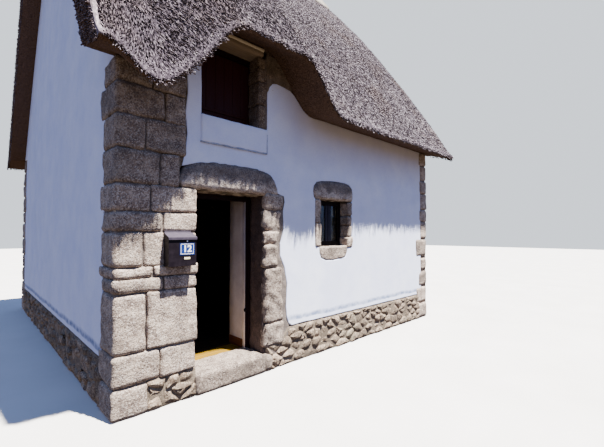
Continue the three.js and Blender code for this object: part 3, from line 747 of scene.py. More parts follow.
def slice_up(part: Part, cell: float) -> None:
    """Cuts a part by planes along all three axes, so that its flat faces get points to move.

    Args:
        part: The part to cut.
        cell: The distance between two planes.
    """
    for axis in range(3):
        values = [vert.co[axis] for vert in part.verts]
        low, high = min(values), max(values)
        count = max(1, round((high - low) / cell))
        normal = Vector((0, 0, 0))
        normal[axis] = 1.0
        for i in range(1, count):
            spot = Vector((0, 0, 0))
            spot[axis] = low + (high - low) * i / count
            geometry = part.verts[:] + part.edges[:] + part.faces[:]
            bmesh.ops.bisect_plane(part, geom=geometry, dist=1e-5, plane_co=spot, plane_no=normal)


def draw_out(part: Part, faces: Sequence[bmesh.types.BMFace], shift: Spot) -> None:
    """Extrudes faces into a closed part whose faces point outwards.

    Args:
        part: The part that the faces are in.
        faces: The faces to move.
        shift: How far they move.
    """
    made = bmesh.ops.extrude_face_region(part, geom=faces)["geom"]
    moved = [item for item in made if isinstance(item, bmesh.types.BMVert)]
    bmesh.ops.translate(part, vec=shift, verts=moved)
    bmesh.ops.recalc_face_normals(part, faces=part.faces[:])


def cuboid(low: Spot, high: Spot) -> Part:
    """A plain box.

    Args:
        low: Its lowest corner.
        high: Its highest corner.

    Returns:
        The part.
    """
    part = bmesh.new()
    bmesh.ops.create_cube(part, size=1.0)
    bmesh.ops.scale(part, vec=[b - a for a, b in zip(low, high)], verts=part.verts)
    bmesh.ops.translate(part, vec=[(a + b) / 2 for a, b in zip(low, high)], verts=part.verts)
    return part


def round_edges(part: Part, rounding: float, segments: int = 2) -> None:
    """Rounds all edges of a part.

    Args:
        part: The part.
        rounding: The width of its rounded edges.
        segments: The steps in a rounded edge.
    """
    bmesh.ops.bevel(
        part, geom=part.edges[:], offset=rounding, offset_type="OFFSET", affect="EDGES",
        segments=segments, profile=0.5, material=-1, clamp_overlap=True)


def block_part(low: Spot, high: Spot, rounding: float, segments: int = 2) -> Part:
    """A box with rounded edges.

    Args:
        low: Its lowest corner.
        high: Its highest corner.
        rounding: The width of its rounded edges.
        segments: The steps in a rounded edge.

    Returns:
        The part.
    """
    part = cuboid(low, high)
    round_edges(part, rounding, segments)
    return part


def block_stone(
    low: Spot,
    high: Spot,
    rng: random.Random,
    rounding: float = 0.018,
    cell: float = 0.05,
    rough: float = 0.007,
    skew: float = 0.008,
) -> Part:
    """One squared stone with worn edges and a split face.

    Args:
        low: Its lowest corner.
        high: Its highest corner.
        rng: The seeded source of its irregularity.
        rounding: The width of its worn edges.
        cell: The distance between the points of its faces.
        rough: How far its faces lie in and out.
        skew: How far its corners are out of square.

    Returns:
        The part.
    """
    part = cuboid(low, high)
    for vert in part.verts:
        vert.co += Vector([rng.uniform(-skew, skew) for _ in range(3)])
    round_edges(part, rounding)
    roughen(part, rough, 0.11, rng.uniform(0, 50), cell)
    return part


def round_corners(points: Outline, radius: float, steps: int = 2) -> list[tuple[float, float]]:
    """Rounds every corner of an outline.

    Args:
        points: The corners in order.
        radius: How far from the corner the curve starts, at most a third of an edge.
        steps: The number of points on a curve, less one.

    Returns:
        The rounded outline.
    """
    rounded = []
    for i, here in enumerate(points):
        corner = Vector(here)
        before = Vector(points[i - 1]) - corner
        after = Vector(points[(i + 1) % len(points)]) - corner
        start = corner + before.normalized() * min(radius, before.length / 3)
        end = corner + after.normalized() * min(radius, after.length / 3)
        for step in range(steps + 1):
            share = step / steps
            spot = start * (1 - share) ** 2 + corner * 2 * share * (1 - share) + end * share ** 2
            rounded.append((spot.x, spot.y))
    return rounded


def outline_stone(points: Outline, front: float, back: float, rounding: float, crown: float = 0.0) -> Part:
    """A stone from its outline on the wall, with a rounded front edge.

    Args:
        points: The outline in wall x and z.
        front: The wall y of its face.
        back: The wall y of its back.
        rounding: The depth of its rounded front edge.
        crown: How far the middle of its face stands out, or 0 for a flat one.

    Returns:
        The part, in wall coordinates.
    """
    part = bmesh.new()
    face = part.faces.new([part.verts.new((x, back, z)) for x, z in points])
    part.normal_update()
    if face.normal.y > 0:
        face.normal_flip()
    draw_out(part, [face], (0, front + rounding - back, 0))
    top = min(part.faces, key=lambda item: item.calc_center_median().y)
    for share_in, share_out in ((0.3, 0.62), (0.7, 0.38)):
        bmesh.ops.inset_region(
            part, faces=[top], thickness=rounding * share_in, depth=rounding * share_out,
            use_even_offset=True)
    if crown:
        bmesh.ops.poke(part, faces=[top], offset=crown)
    return part


@dataclass(frozen=True)
class Rubble:
    """Rough stones and the mortar bed between them, on one face of the house."""

    face: WallFace
    across: float = 0.2
    tall: float = 0.12
    proud: tuple[float, float] = (-0.006, 0.022)
    cell: float = 0.04
    skip: Callable[[float, float], bool] | None = None
    smallest: float = 0.022
    jitter: float = 0.006

    def cells(self, width: float, height: float, rng: random.Random) -> list[list[Vector]]:
        """Divides a rectangle into the outlines of rough stones, the larger ones lower down.

        Args:
            width: The rectangle's width.
            height: Its height.
            rng: The seeded source of irregularity.

        Returns:
            The outlines, with x and y from the rectangle's lower left corner.
        """
        across, tall = self.across, self.tall
        squeeze = (tall / across) ** 2
        seeds: list[Vector] = []
        for _ in range(round(40 * width * height / (across * tall))):
            spot = Vector((rng.uniform(-0.02, width + 0.02), rng.uniform(0.02, height - 0.02), 0))
            wide = rng.choice((0.6, 0.8, 1.0, 1.25)) * (1.15 - 0.3 * spot.y / height)
            if all(math.hypot((spot.x - o.x) / across, (spot.y - o.y) / tall) > wide * 0.82 for o in seeds):
                seeds.append(spot)
        reach = 3.0 * max(across, tall)
        cells = []
        for seed in seeds:
            part = bmesh.new()
            bmesh.ops.create_grid(part, x_segments=1, y_segments=1, size=0.5)
            bmesh.ops.scale(part, vec=(width, height, 1), verts=part.verts)
            bmesh.ops.translate(part, vec=(width / 2, height / 2, 0), verts=part.verts)
            for other in seeds:
                away = other - seed
                if other is seed or away.length > reach:
                    continue
                cut = Vector((away.x * squeeze, away.y, 0))
                geometry = part.verts[:] + part.edges[:] + part.faces[:]
                bmesh.ops.bisect_plane(
                    part, geom=geometry, plane_co=(seed + other) / 2, plane_no=cut, clear_outer=True)
            bmesh.ops.remove_doubles(part, verts=part.verts[:], dist=0.02)
            cells.extend([vert.co.copy() for vert in face.verts] for face in part.faces)
            part.free()
        return cells

    def stones(self, heap: Heap, area: Area, rng: random.Random) -> None:
        """Adds the rough stones of one stretch of wall to a heap.

        Args:
            heap: Where the stones go.
            area: The stretch as x0, x1, z0 and z1 on that wall.
            rng: The seeded source of irregularity.
        """
        x0, x1, z0, z1 = area
        for edge in self.cells(x1 - x0, z1 - z0, rng):
            middle = sum(edge, Vector()) / len(edge)
            reach = sum((corner - middle).length for corner in edge) / len(edge)
            if reach < self.smallest or (self.skip and self.skip(x0 + middle.x, z0 + middle.y)):
                continue
            shrink = 1 - rng.uniform(0.002, 0.008) / reach
            corners = []
            for corner in edge:
                shift = [rng.uniform(-self.jitter, self.jitter) for _ in range(2)]
                moved = middle + (corner - middle) * shrink + Vector((*shift, 0))
                corners.append((x0 + moved.x, z0 + moved.y))
            outline = round_corners(corners, reach * 0.26)
            out = rng.uniform(*self.proud)
            stone = outline_stone(outline, -out, 0.05, min(0.024, reach * 0.32), reach * 0.08)
            tilt = (rng.uniform(-0.13, 0.13), rng.uniform(-0.16, 0.06))
            for vert in stone.verts:
                if vert.co.y < 0.03:
                    vert.co.y += (vert.co.x - x0 - middle.x) * tilt[0] + (vert.co.z - z0 - middle.y) * tilt[1]
            roughen(stone, 0.0075, 0.06, rng.uniform(0, 50), self.cell)
            for vert in stone.verts:
                vert.co.z = min(max(vert.co.z, z0), z1)
            heap.add(stone, rng.random(), self.face.plane())

    def bed(self, heap: Heap, area: Area, seed: float) -> None:
        """Adds the mortar that fills the joints between the stones nearly to the wall's face.

        Args:
            heap: Where it goes.
            area: Its stretch as x0, x1, z0 and z1.
            seed: Shifts the pattern of its surface.
        """
        x0, x1, z0, z1 = area
        part = outline_stone([(x0, z0), (x1, z0), (x1, z1), (x0, z1)], 0.004, 0.045, 0.004)
        roughen(part, 0.006, 0.09, seed, 0.06)
        heap.add(part, 0.5, self.face.plane())


def fall(share: Array | float) -> Array:
    """A fall from 1 to 0 in half a cosine wave, as the share goes from 0 to 1."""
    return 0.5 * (1 + np.cos(np.pi * np.clip(share, 0, 1)))


@dataclass(frozen=True)
class EyebrowArch:
    """The arch that the thatch makes over the loft opening."""

    centre: float
    flat: float
    left: float
    right: float

    def height(self, x: Array) -> Array:
        """The arch's height at x, from 0 at its feet to 1 along its crown."""
        foot = np.where(x < self.centre, self.left, self.right)
        return fall((np.abs(x - self.centre) - self.flat) / foot)


@dataclass(frozen=True)
class RoofForm:
    """The roof's surfaces, by run inward from the drip edge and x along the house."""

    eave_reach: float = 0.45
    seat_end: float = 0.51
    eave_z: float = 3.03
    steepness: float = 1.668
    easing: float = 0.08735
    drop: float = 0.68
    nose: float = 0.045
    eyebrow_rise: float = 0.535
    eyebrow_flat_end: float = 0.56
    eyebrow_fade_end: float = 2.6
    drip_arch: EyebrowArch = EyebrowArch(-1.44, 0.34, 0.62, 0.76)
    wall_arch: EyebrowArch = EyebrowArch(-1.604, 0.42, 0.6, 0.78)
    wall_rise: float = 0.64
    lip_arch: EyebrowArch = EyebrowArch(-0.78, 0.12, 0.37, 0.75)
    dip: float = 0.22
    dip_centre: float = -2.62
    dip_half: float = 0.4
    bulge: float = 0.07
    crown_bulge: float = 0.035
    crown_arch: EyebrowArch = EyebrowArch(-1.55, 0.25, 0.3, 0.25)
    crown_lip: float = 0.025
    verge_round: float = 0.075

    def top(self, run: Array | float) -> Array:
        """Height of the outer face."""
        return self.eave_z + self.steepness * run - self.easing * run * run

    def under(self, run: float) -> float:
        """Height of the underside, which rests on the wall head.

        Args:
            run: The run inward from the drip edge.

        Returns:
            The height.
        """
        if run <= self.eave_reach:
            return self.eave_z + (WALL_TOP - self.eave_z) * run / self.eave_reach
        return max(WALL_TOP, float(self.top(run)) - self.drop)

    def lift(self, x: Array, run: Array | float) -> Array:
        """How far the eyebrow lifts the front thatch.

        Args:
            x: Places along the house.
            run: The run inward from the drip edge.

        Returns:
            The lift at each place.
        """
        inward = 1 - fall(run / self.eave_reach)
        dip = self.dip * fall(np.abs(x - self.dip_centre) / self.dip_half)
        drip = self.eyebrow_rise * self.drip_arch.height(x) - dip
        wall = self.wall_rise * self.wall_arch.height(x)
        fade = fall((run - self.eyebrow_flat_end) / (self.eyebrow_fade_end - self.eyebrow_flat_end))
        return ((1 - inward) * drip + inward * wall) * fade

    def forward(self, x: Array, run: Array | float) -> Array:
        """How far the eyebrow's lip stands out in front of the straight drip edge."""
        lip = self.bulge * self.lip_arch.height(x) + self.crown_bulge * self.drip_arch.height(x)
        return (lip + self.crown_lip * self.crown_arch.height(x)) * fall(run / 1.1)

    def wave(self, x: Array, run: Array | float) -> Array:
        """The slight unevenness of hand-laid thatch.

        Args:
            x: Places along the house.
            run: The run inward from the drip edge.

        Returns:
            The rise at each place.
        """
        first = np.sin(x * 3.1 + run * 1.7) * np.sin(run * 2.6 - x * 0.8)
        second = np.sin(x * 7.3 - run * 4.1 + 1.3) * np.sin(run * 6.2 + x * 2.2)
        return 0.012 * first + 0.006 * second

    def verge(self, side: Array, run: Array | float) -> tuple[Array, Array]:
        """Where a point lies across the house, and how far the rounded verge lowers it.

        Args:
            side: The distance along the surface from the middle, with its sign.
            run: The run inward from the drip edge.

        Returns:
            The x and the drop.
        """
        straight = ROOF_HALF - self.verge_round
        turn = np.clip((np.abs(side) - straight) / self.verge_round, 0, math.pi / 2)
        x = np.sign(side) * (np.minimum(np.abs(side), straight) + self.verge_round * np.sin(turn))
        depth = np.clip(run / 0.35, 0.2, 1.0)
        return x, self.verge_round * (1 - np.cos(turn)) * depth

    def outer(self, side: Array, run: Array, front: bool) -> Array:
        """Points of the outer face.

        Args:
            side: Distance along the surface from the middle of the house.
            run: Run inward from the drip edge.
            front: Whether this is the slope with the eyebrow.

        Returns:
            An array of points, one a row.
        """
        x, drop = self.verge(side, run)
        z = self.top(run) + self.wave(x, run) * np.clip(run / 0.4, 0.3, 1) - drop
        if front:
            return np.stack([x, run - ROOF_RUN - self.forward(x, run), z + self.lift(x, run)], axis=-1)
        return np.stack([-x, ROOF_RUN - run, z], axis=-1)


@dataclass(frozen=True)
class ReedCut:
    """The sizes of one kind of reed tip."""

    length: tuple[float, float] = (0.05, 0.1)
    width: tuple[float, float] = (0.0055, 0.0095)
    lift: tuple[float, float] = (0.004, 0.014)
    stray: float = 0.08
    # The share of the tone at a tip's root: painted shade where it sinks into the thatch.
    painted_root_shade: float = 0.28
    skew: float = 1.0
    tones: tuple[float, float] = (0.0, 1.0)

    def lay(
        self,
        root: Array,
        heading: Array,
        normal: Array,
        rng: np.random.Generator,
    ) -> Mesh:
        """Lays a reed tip at each root: a closed wedge, sunk at its root and blunt at its cut end.

        Args:
            root: Where each tip starts, one a row.
            heading: The way that each one points.
            normal: The way out of the thatch at each root.
            rng: The seeded source of irregularity.

        Returns:
            The mesh of all of them.
        """
        count = len(root)
        heading = heading / np.linalg.norm(heading, axis=1, keepdims=True)
        normal = normal / np.linalg.norm(normal, axis=1, keepdims=True)
        sideways = np.cross(normal, heading)
        sideways /= np.linalg.norm(sideways, axis=1, keepdims=True)
        yaw = rng.normal(0, self.stray, (count, 1))
        turned = heading * np.cos(yaw) + sideways * np.sin(yaw)
        beside = sideways * np.cos(yaw) - heading * np.sin(yaw)
        low, high = self.length
        length = low + (high - low) * rng.random((count, 1)) ** self.skew
        half_width = rng.uniform(*self.width, (count, 1)) / 2
        lift = rng.uniform(*self.lift, (count, 1))
        sunk = root - normal * 0.006
        end = root + turned * length
        low_end = end + normal * (lift - half_width)
        top_end = end + normal * (lift + half_width * 0.9)
        points = np.stack(
            [sunk, low_end - beside * half_width, low_end + beside * half_width, top_end], axis=1)
        turn = np.cross(points[:, 1] - points[:, 0], points[:, 2] - points[:, 0])
        inward = np.einsum("ij,ij->i", turn, points[:, 3] - points[:, 0]) > 0
        outward_faces = np.array([[0, 2, 1], [0, 1, 3], [1, 2, 3], [0, 3, 2]])
        faces = np.where(inward[:, None, None], outward_faces, outward_faces[:, ::-1])
        faces = (faces + 4 * np.arange(count)[:, None, None]).reshape(-1, 3)
        patch = np.sin(root[:, 0] * 1.9 + 0.6) * np.sin(root[:, 2] * 2.3 + root[:, 0])
        low, high = self.tones
        tones = low + (high - low) * np.clip(rng.beta(0.9, 0.95, count) + 0.06 * patch, 0.02, 1.0)
        # The root takes a lower share of the tone: painted shade.
        shares = np.array([self.painted_root_shade, 0.85, 0.85, 1.0])
        return wedge_mesh(points.reshape(-1, 3), faces, (tones[:, None] * shares).ravel())


@dataclass
class ThatchSlope:
    """One thatched slope: a coat with a brown underside and a skin of reed tips."""

    front: bool
    tips: int
    form: RoofForm = field(default_factory=RoofForm)
    pitch_x: float = 0.06
    top_rows: int = 64
    tip: ReedCut = ReedCut()
    drip: ReedCut = ReedCut((0.03, 0.078), (0.0065, 0.0125), (-0.02, 0.014), 0.16, 0.42, 2.2)
    verge: ReedCut = ReedCut((0.03, 0.06), (0.009, 0.017), (0.002, 0.02), 0.35, 0.75, tones=(0.32, 0.82))
    tips_in_piece: int = 47000
    drip_tips: int = 9000
    verge_tips: int = 4000
    crowding: float = 0.94
    fan: float = 0.8
    # The coat shows between the tips in a dark tone: painted shade of the gaps.
    gap_shade_tone: float = 0.3
    verge_tone: float = 0.62

    def section(self) -> list[tuple[float, float, bool, float]]:
        """The slope's section, from the ridge over the drip edge and back underneath.

        Returns:
            The run, the height, whether it is underneath and the share of the verge drop, row by row.
        """
        form = self.form
        rows = []
        for i in range(self.top_rows):
            run = ROOF_RUN - (ROOF_RUN - 2 * form.nose) * i / (self.top_rows - 1)
            rows.append((run, float(form.top(run)), False, 1.0))
        rows.append((form.nose * 0.7, form.eave_z + form.nose * 1.9, False, 0.6))
        rows.append((0.0, form.eave_z + form.nose, False, 0.2))
        rows.append((form.nose * 0.35, form.eave_z + form.nose * 0.5, False, 0.0))
        rows.append((form.nose, form.eave_z + form.nose * 0.25, False, 0.0))
        for share in (0.25, 0.4, 0.55, 0.7, 0.85, 1.0):
            rows.append((form.eave_reach * share, form.under(form.eave_reach * share), True, -0.1))
        rows.append((form.seat_end, WALL_TOP, True, -0.1))
        for share in (0.25, 0.5, 0.75, 1.0):
            run = form.seat_end + (ROOF_RUN - form.seat_end) * share
            rows.append((run, form.under(run), True, -0.3))
        return rows

    def coat(self) -> Mesh:
        """The slope's closed body.

        Returns:
            The mesh.
        """
        form = self.form
        rows = self.section()
        last = len(rows) - 1
        half = ROOF_HALF - form.verge_round + form.verge_round * math.pi / 2
        columns = round(2 * half / self.pitch_x)
        part = bmesh.new()
        butt = part.verts.layers.float.new(BUTT)
        tone = part.verts.layers.float.new(TONE)
        made = bmesh.ops.create_grid(part, x_segments=columns, y_segments=last, size=0.5)["verts"]
        at_ridge = set()
        for vert in made:
            row = round((vert.co.y + 0.5) * last)
            run, height, underneath, verge_share = rows[row]
            x, drop = form.verge(np.float64(vert.co.x * 2 * half), run)
            z = height - float(drop) * verge_share
            if not underneath and run > form.nose:
                z += float(form.wave(x, run)) * min(1.0, max(0.3, run / 0.4))
            vert[butt] = float(underneath)
            vert[tone] = self.verge_tone if abs(x) > ROOF_HALF - form.verge_round / 2 else self.gap_shade_tone
            if row in (0, last):
                at_ridge.add(vert)
            if self.front:
                near_wall = fall(run / form.eave_reach) if underneath else 1.0
                out = float(form.forward(x, run) * near_wall)
                vert.co = Vector((float(x), run - ROOF_RUN - out, z + float(form.lift(np.float64(x), run))))
            else:
                vert.co = Vector((-float(x), ROOF_RUN - run, z))
        ridge = [edge for edge in part.edges if edge.is_boundary and all(v in at_ridge for v in edge.verts)]
        bmesh.ops.bridge_loops(part, edges=ridge)
        bmesh.ops.holes_fill(part, edges=[edge for edge in part.edges if edge.is_boundary], sides=0)
        bmesh.ops.recalc_face_normals(part, faces=part.faces[:])
        for face in part.faces:
            face.smooth = len(face.verts) == 4
        return keep_mesh(part, "thatch_coat")

    def slope_frames(self, side: Array, run: Array) -> tuple[Array, Array, Array]:
        """Where reeds root on a slope, the way they point, and the way out of the thatch.

        Args:
            side: Distances along the surface from the middle of the house.
            run: Runs inward from the drip edge.

        Returns:
            Roots, headings that fan out round the eyebrow, and normals.
        """
        step = 0.01
        root = self.form.outer(side, run, self.front)
        down = self.form.outer(side, run - step, self.front) - root
        across = self.form.outer(side + step, run, self.front) - root
        down /= np.linalg.norm(down, axis=1, keepdims=True)
        across /= np.linalg.norm(across, axis=1, keepdims=True)
        normal = np.cross(down, across)
        normal *= np.sign(normal[:, 2:3])
        lean = np.einsum("ij,ij->i", down, across)[:, None]
        return root, down - self.fan * lean * across, normal

    def slope_tips(self, count: int, seed: int) -> Mesh:
        """Reed tips over a slope, closer together towards the eave.

        Args:
            count: How many there are.
            seed: The seed of their places.

        Returns:
            The mesh.
        """
        rng = np.random.default_rng(seed)
        half = ROOF_HALF - self.form.verge_round * 0.25
        side = rng.uniform(-half, half, count)
        share = 1 - np.sqrt(1 - self.crowding * rng.random(count))
        run = 0.05 + (ROOF_RUN - 0.1) * share / (1 - math.sqrt(1 - self.crowding))
        root, heading, normal = self.slope_frames(side, run)
        return self.tip.lay(root, heading, normal, rng)

    def drip_fringe(self, seed: int) -> Mesh:
        """The jagged reed ends along the drip edge.

        Args:
            seed: The seed of their places.

        Returns:
            The mesh.
        """
        rng = np.random.default_rng(seed)
        half = ROOF_HALF - self.form.verge_round * 0.3
        side = rng.uniform(-half, half, self.drip_tips)
        run = rng.uniform(0.012, 0.1, self.drip_tips)
        root, heading, normal = self.slope_frames(side, run)
        near = 1 - run / 0.1
        root[:, 2] += (self.form.nose - rng.uniform(0.0, 0.05, self.drip_tips)) * near
        heading[:, 1] += (-0.45 if self.front else 0.45) * near
        return self.drip.lay(root, heading, normal, rng)

    def verge_face(self, right: bool, seed: int) -> Mesh:
        """Cut reed ends over the thick edge above a gable.

        Args:
            right: Whether the gable is the right one, seen from the front.
            seed: The seed of their places.

        Returns:
            The mesh.
        """
        form = self.form
        rng = np.random.default_rng(seed)
        run = rng.uniform(0.06, ROOF_RUN + 0.01, self.verge_tips)
        under = np.array([form.under(float(value)) for value in run])
        depth = rng.uniform(0.02, 0.97, self.verge_tips)
        turn = 1.0 if right else -1.0
        top = form.top(run) - form.verge_round
        if self.front:
            top = top + form.lift(np.full_like(run, turn * ROOF_HALF), run)
        z = under + (top - under) * depth
        y = (run - ROOF_RUN) * (1.0 if self.front else -1.0)
        root = np.stack([np.full_like(run, turn * (ROOF_HALF - 0.002)), y, z], axis=-1)
        slope = form.steepness - 2 * form.easing * run
        away = -1.0 if self.front else 1.0
        heading = np.stack([np.full_like(run, 0.12 * turn), np.full_like(run, away), -slope], axis=-1)
        normal = np.tile(np.array([turn, 0.0, 0.0]), (self.verge_tips, 1))
        return self.verge.lay(root, heading, normal, rng)

    def build(self) -> None:
        """Makes the coat, its reed tips, the drip edge and the two verges."""
        name = "front" if self.front else "back"
        add_piece(f"thatch_coat_{name}", self.coat(), REED, stands_for=[f"thatch_{name}"])
        parts = math.ceil(self.tips / self.tips_in_piece)
        for i in range(parts):
            tips = self.slope_tips(self.tips // parts, 11 + i + 5 * self.front)
            add_piece(f"reed_tips_{name}_{i + 1}", tips, REED)
        add_piece(f"drip_edge_{name}", self.drip_fringe(31 + self.front), REED)
        for right, end in ((True, "right"), (False, "left")):
            ends = self.verge_face(right, 41 + 2 * self.front + right)
            add_piece(f"verge_reeds_{name}_{end}", ends, REED)


def wedge_mesh(points: Array, faces: Array, tones: Array) -> Mesh:
    """Joins many small wedges from arrays.

    Args:
        points: All corners, one a row.
        faces: All triangles, as rows of three indices.
        tones: A tone for each corner.

    Returns:
        The mesh.
    """
    mesh = bpy.data.meshes.new("wedges")
    mesh.vertices.add(len(points))
    mesh.vertices.foreach_set("co", points.astype(np.float32).ravel())
    mesh.loops.add(faces.size)
    mesh.loops.foreach_set("vertex_index", faces.astype(np.int32).ravel())
    mesh.polygons.add(len(faces))
    mesh.polygons.foreach_set("loop_start", np.arange(0, faces.size, 3, dtype=np.int32))
    mesh.update(calc_edges=True)
    mesh.attributes.new(TONE, "FLOAT", "POINT").data.foreach_set("value", tones.astype(np.float32))
    mesh.attributes.new(BUTT, "FLOAT", "POINT")
    mesh.validate()
    return mesh


@dataclass
class RidgeAndChimney:
    """The mortar ridge and the granite stack."""

    ridge_columns: int = 90
    ridge_rows: int = 28
    ridge_thick: float = 0.12
    ridge_bend: float = 1.25
    course: float = 0.235
    joint: float = 0.012
    proud: float = 0.008
    cap_over: float = 0.04
    cap_thick: float = 0.09
    first_course: float = 6.9

    def ridge(self) -> Mesh:
        """Shapes the ridge, rounded over the peak and a little uneven.

        Returns:
            The mesh.
        """
        low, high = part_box("ridge_cap")
        part = bmesh.new()
        made = bmesh.ops.create_grid(
            part, x_segments=self.ridge_columns, y_segments=self.ridge_rows, size=0.5)["verts"]
        for vert in made:
            share = vert.co.y * 2
            swell = 0.5 * (1 + math.cos(math.pi * share))
            fallen = (high.z - low.z - 0.03) * abs(share) ** self.ridge_bend
            x = low.x + (vert.co.x + 0.5) * (high.x - low.x)
            vert.co = Vector((x, share * high.y, high.z - fallen - 0.02 * (1 - swell)))
        draw_out(part, part.faces[:], (0, 0, -self.ridge_thick))
        roughen(part, 0.016, 0.16, 4.0)
        for face in part.faces:
            face.smooth = True
        return keep_mesh(part, "ridge")

    def stack_stones(self) -> Mesh:
        """Lays courses of squared granite round the stack, with its oversailing cap.

        Returns:
            The mesh.
        """
        low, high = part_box("chimney_stack")
        inset = self.cap_over
        x0, x1 = low.x + inset - self.proud, high.x - inset + self.proud
        y0, y1 = low.y + inset - self.proud, high.y - inset + self.proud
        rng = random.Random(71)
        heap = Heap()
        tall = high.z - self.cap_thick - self.first_course
        count = round(tall / self.course)
        tall = tall / count
        gap = self.joint / 2
        for i in range(count):
            z0 = self.first_course + i * tall + gap
            z1 = z0 + tall - self.joint
            split_x = x0 + (x1 - x0) * (0.38 if i % 2 else 0.62)
            split_y = y0 + (y1 - y0) * (0.6 if i % 2 else 0.4)
            for xa, xb in ((x0, split_x - gap), (split_x + gap, x1)):
                for ya, yb in ((y0, split_y - gap), (split_y + gap, y1)):
                    heap.add(block_stone((xa, ya, z0), (xb, yb, z1), rng, 0.014, 0.09, 0.006), rng.random())
        z0 = high.z - self.cap_thick + 0.004
        middle = (low.x + high.x) / 2
        for xa, xb in ((low.x, middle - 0.006), (middle + 0.006, high.x)):
            half = block_stone((xa, low.y, z0), (xb, high.y, high.z), rng, 0.02, 0.1, 0.006, 0.004)
            heap.add(half, rng.random())
        return heap.mesh()

    def build(self) -> None:
        """Makes the ridge and the stones of the stack."""
        add_piece("ridge_mortar_cap", self.ridge(), RIDGE_MORTAR, stands_for=["ridge_cap"])
        add_piece("chimney_stones", self.stack_stones(), DRESSED_GRANITE)


@dataclass(frozen=True)
class Loaf:
    """One large stone of the front wall with a rounded outline, bedded in mortar."""

    node: str
    points: Outline
    front: float
    back: float
    rounding: float
    rough: float
    seed: float
    finish: Mineral
    bed_depth: float = 0.012

    def build(self) -> None:
        """Makes the stone, which stands for its CAD node, and the bed behind it."""
        plane = WallFace.FRONT.plane()
        part = outline_stone(self.points, self.front, self.back, self.rounding)
        roughen(part, self.rough, 0.09, self.seed, 0.03)
        stone = one_mesh(part, tone=0.4, place=plane)
        add_piece(f"{self.node}_stone", stone, self.finish, stands_for=[self.node])
        bed = outline_stone(self.points, self.bed_depth, self.back - 0.004, 0.004)
        add_piece(f"{self.node}_bed", one_mesh(bed, place=plane), POINTING_MORTAR)


DOOR_LINTEL = Loaf("door_lintel", (
    (-2.2, 2.056), (-2.229, 2.11), (-2.21, 2.19), (-2.176, 2.262), (-2.1, 2.312), (-1.998, 2.335),
    (-1.87, 2.35), (-1.65, 2.356), (-1.424, 2.358), (-1.3, 2.352), (-1.19, 2.336), (-1.1, 2.302),
    (-1.035, 2.235), (-0.985, 2.15), (-0.972, 2.09), (-0.99, 2.056),
), -0.02, 0.318, 0.04, 0.013, 7.0, LINTEL_GRANITE)
WINDOW_LINTEL = Loaf("window_lintel", (
    (-0.31, 2.074), (-0.35, 2.11), (-0.367, 2.17), (-0.355, 2.245), (-0.3, 2.3), (-0.2, 2.322), (0.0, 2.338),
    (0.16, 2.342), (0.3, 2.34), (0.4, 2.318), (0.458, 2.265), (0.48, 2.19), (0.476, 2.12), (0.455, 2.074),
), -0.016, 0.218, 0.03, 0.008, 17.0, LINTEL_GRANITE)
WINDOW_SILL = Loaf("window_sill", (
    (-0.255, 1.423), (-0.25, 1.34), (-0.215, 1.265), (-0.12, 1.232), (0.04, 1.226), (0.2, 1.24),
    (0.31, 1.262), (0.345, 1.33), (0.348, 1.423),
), -0.004, 0.218, 0.02, 0.007, 23.0, DRESSED_GRANITE)


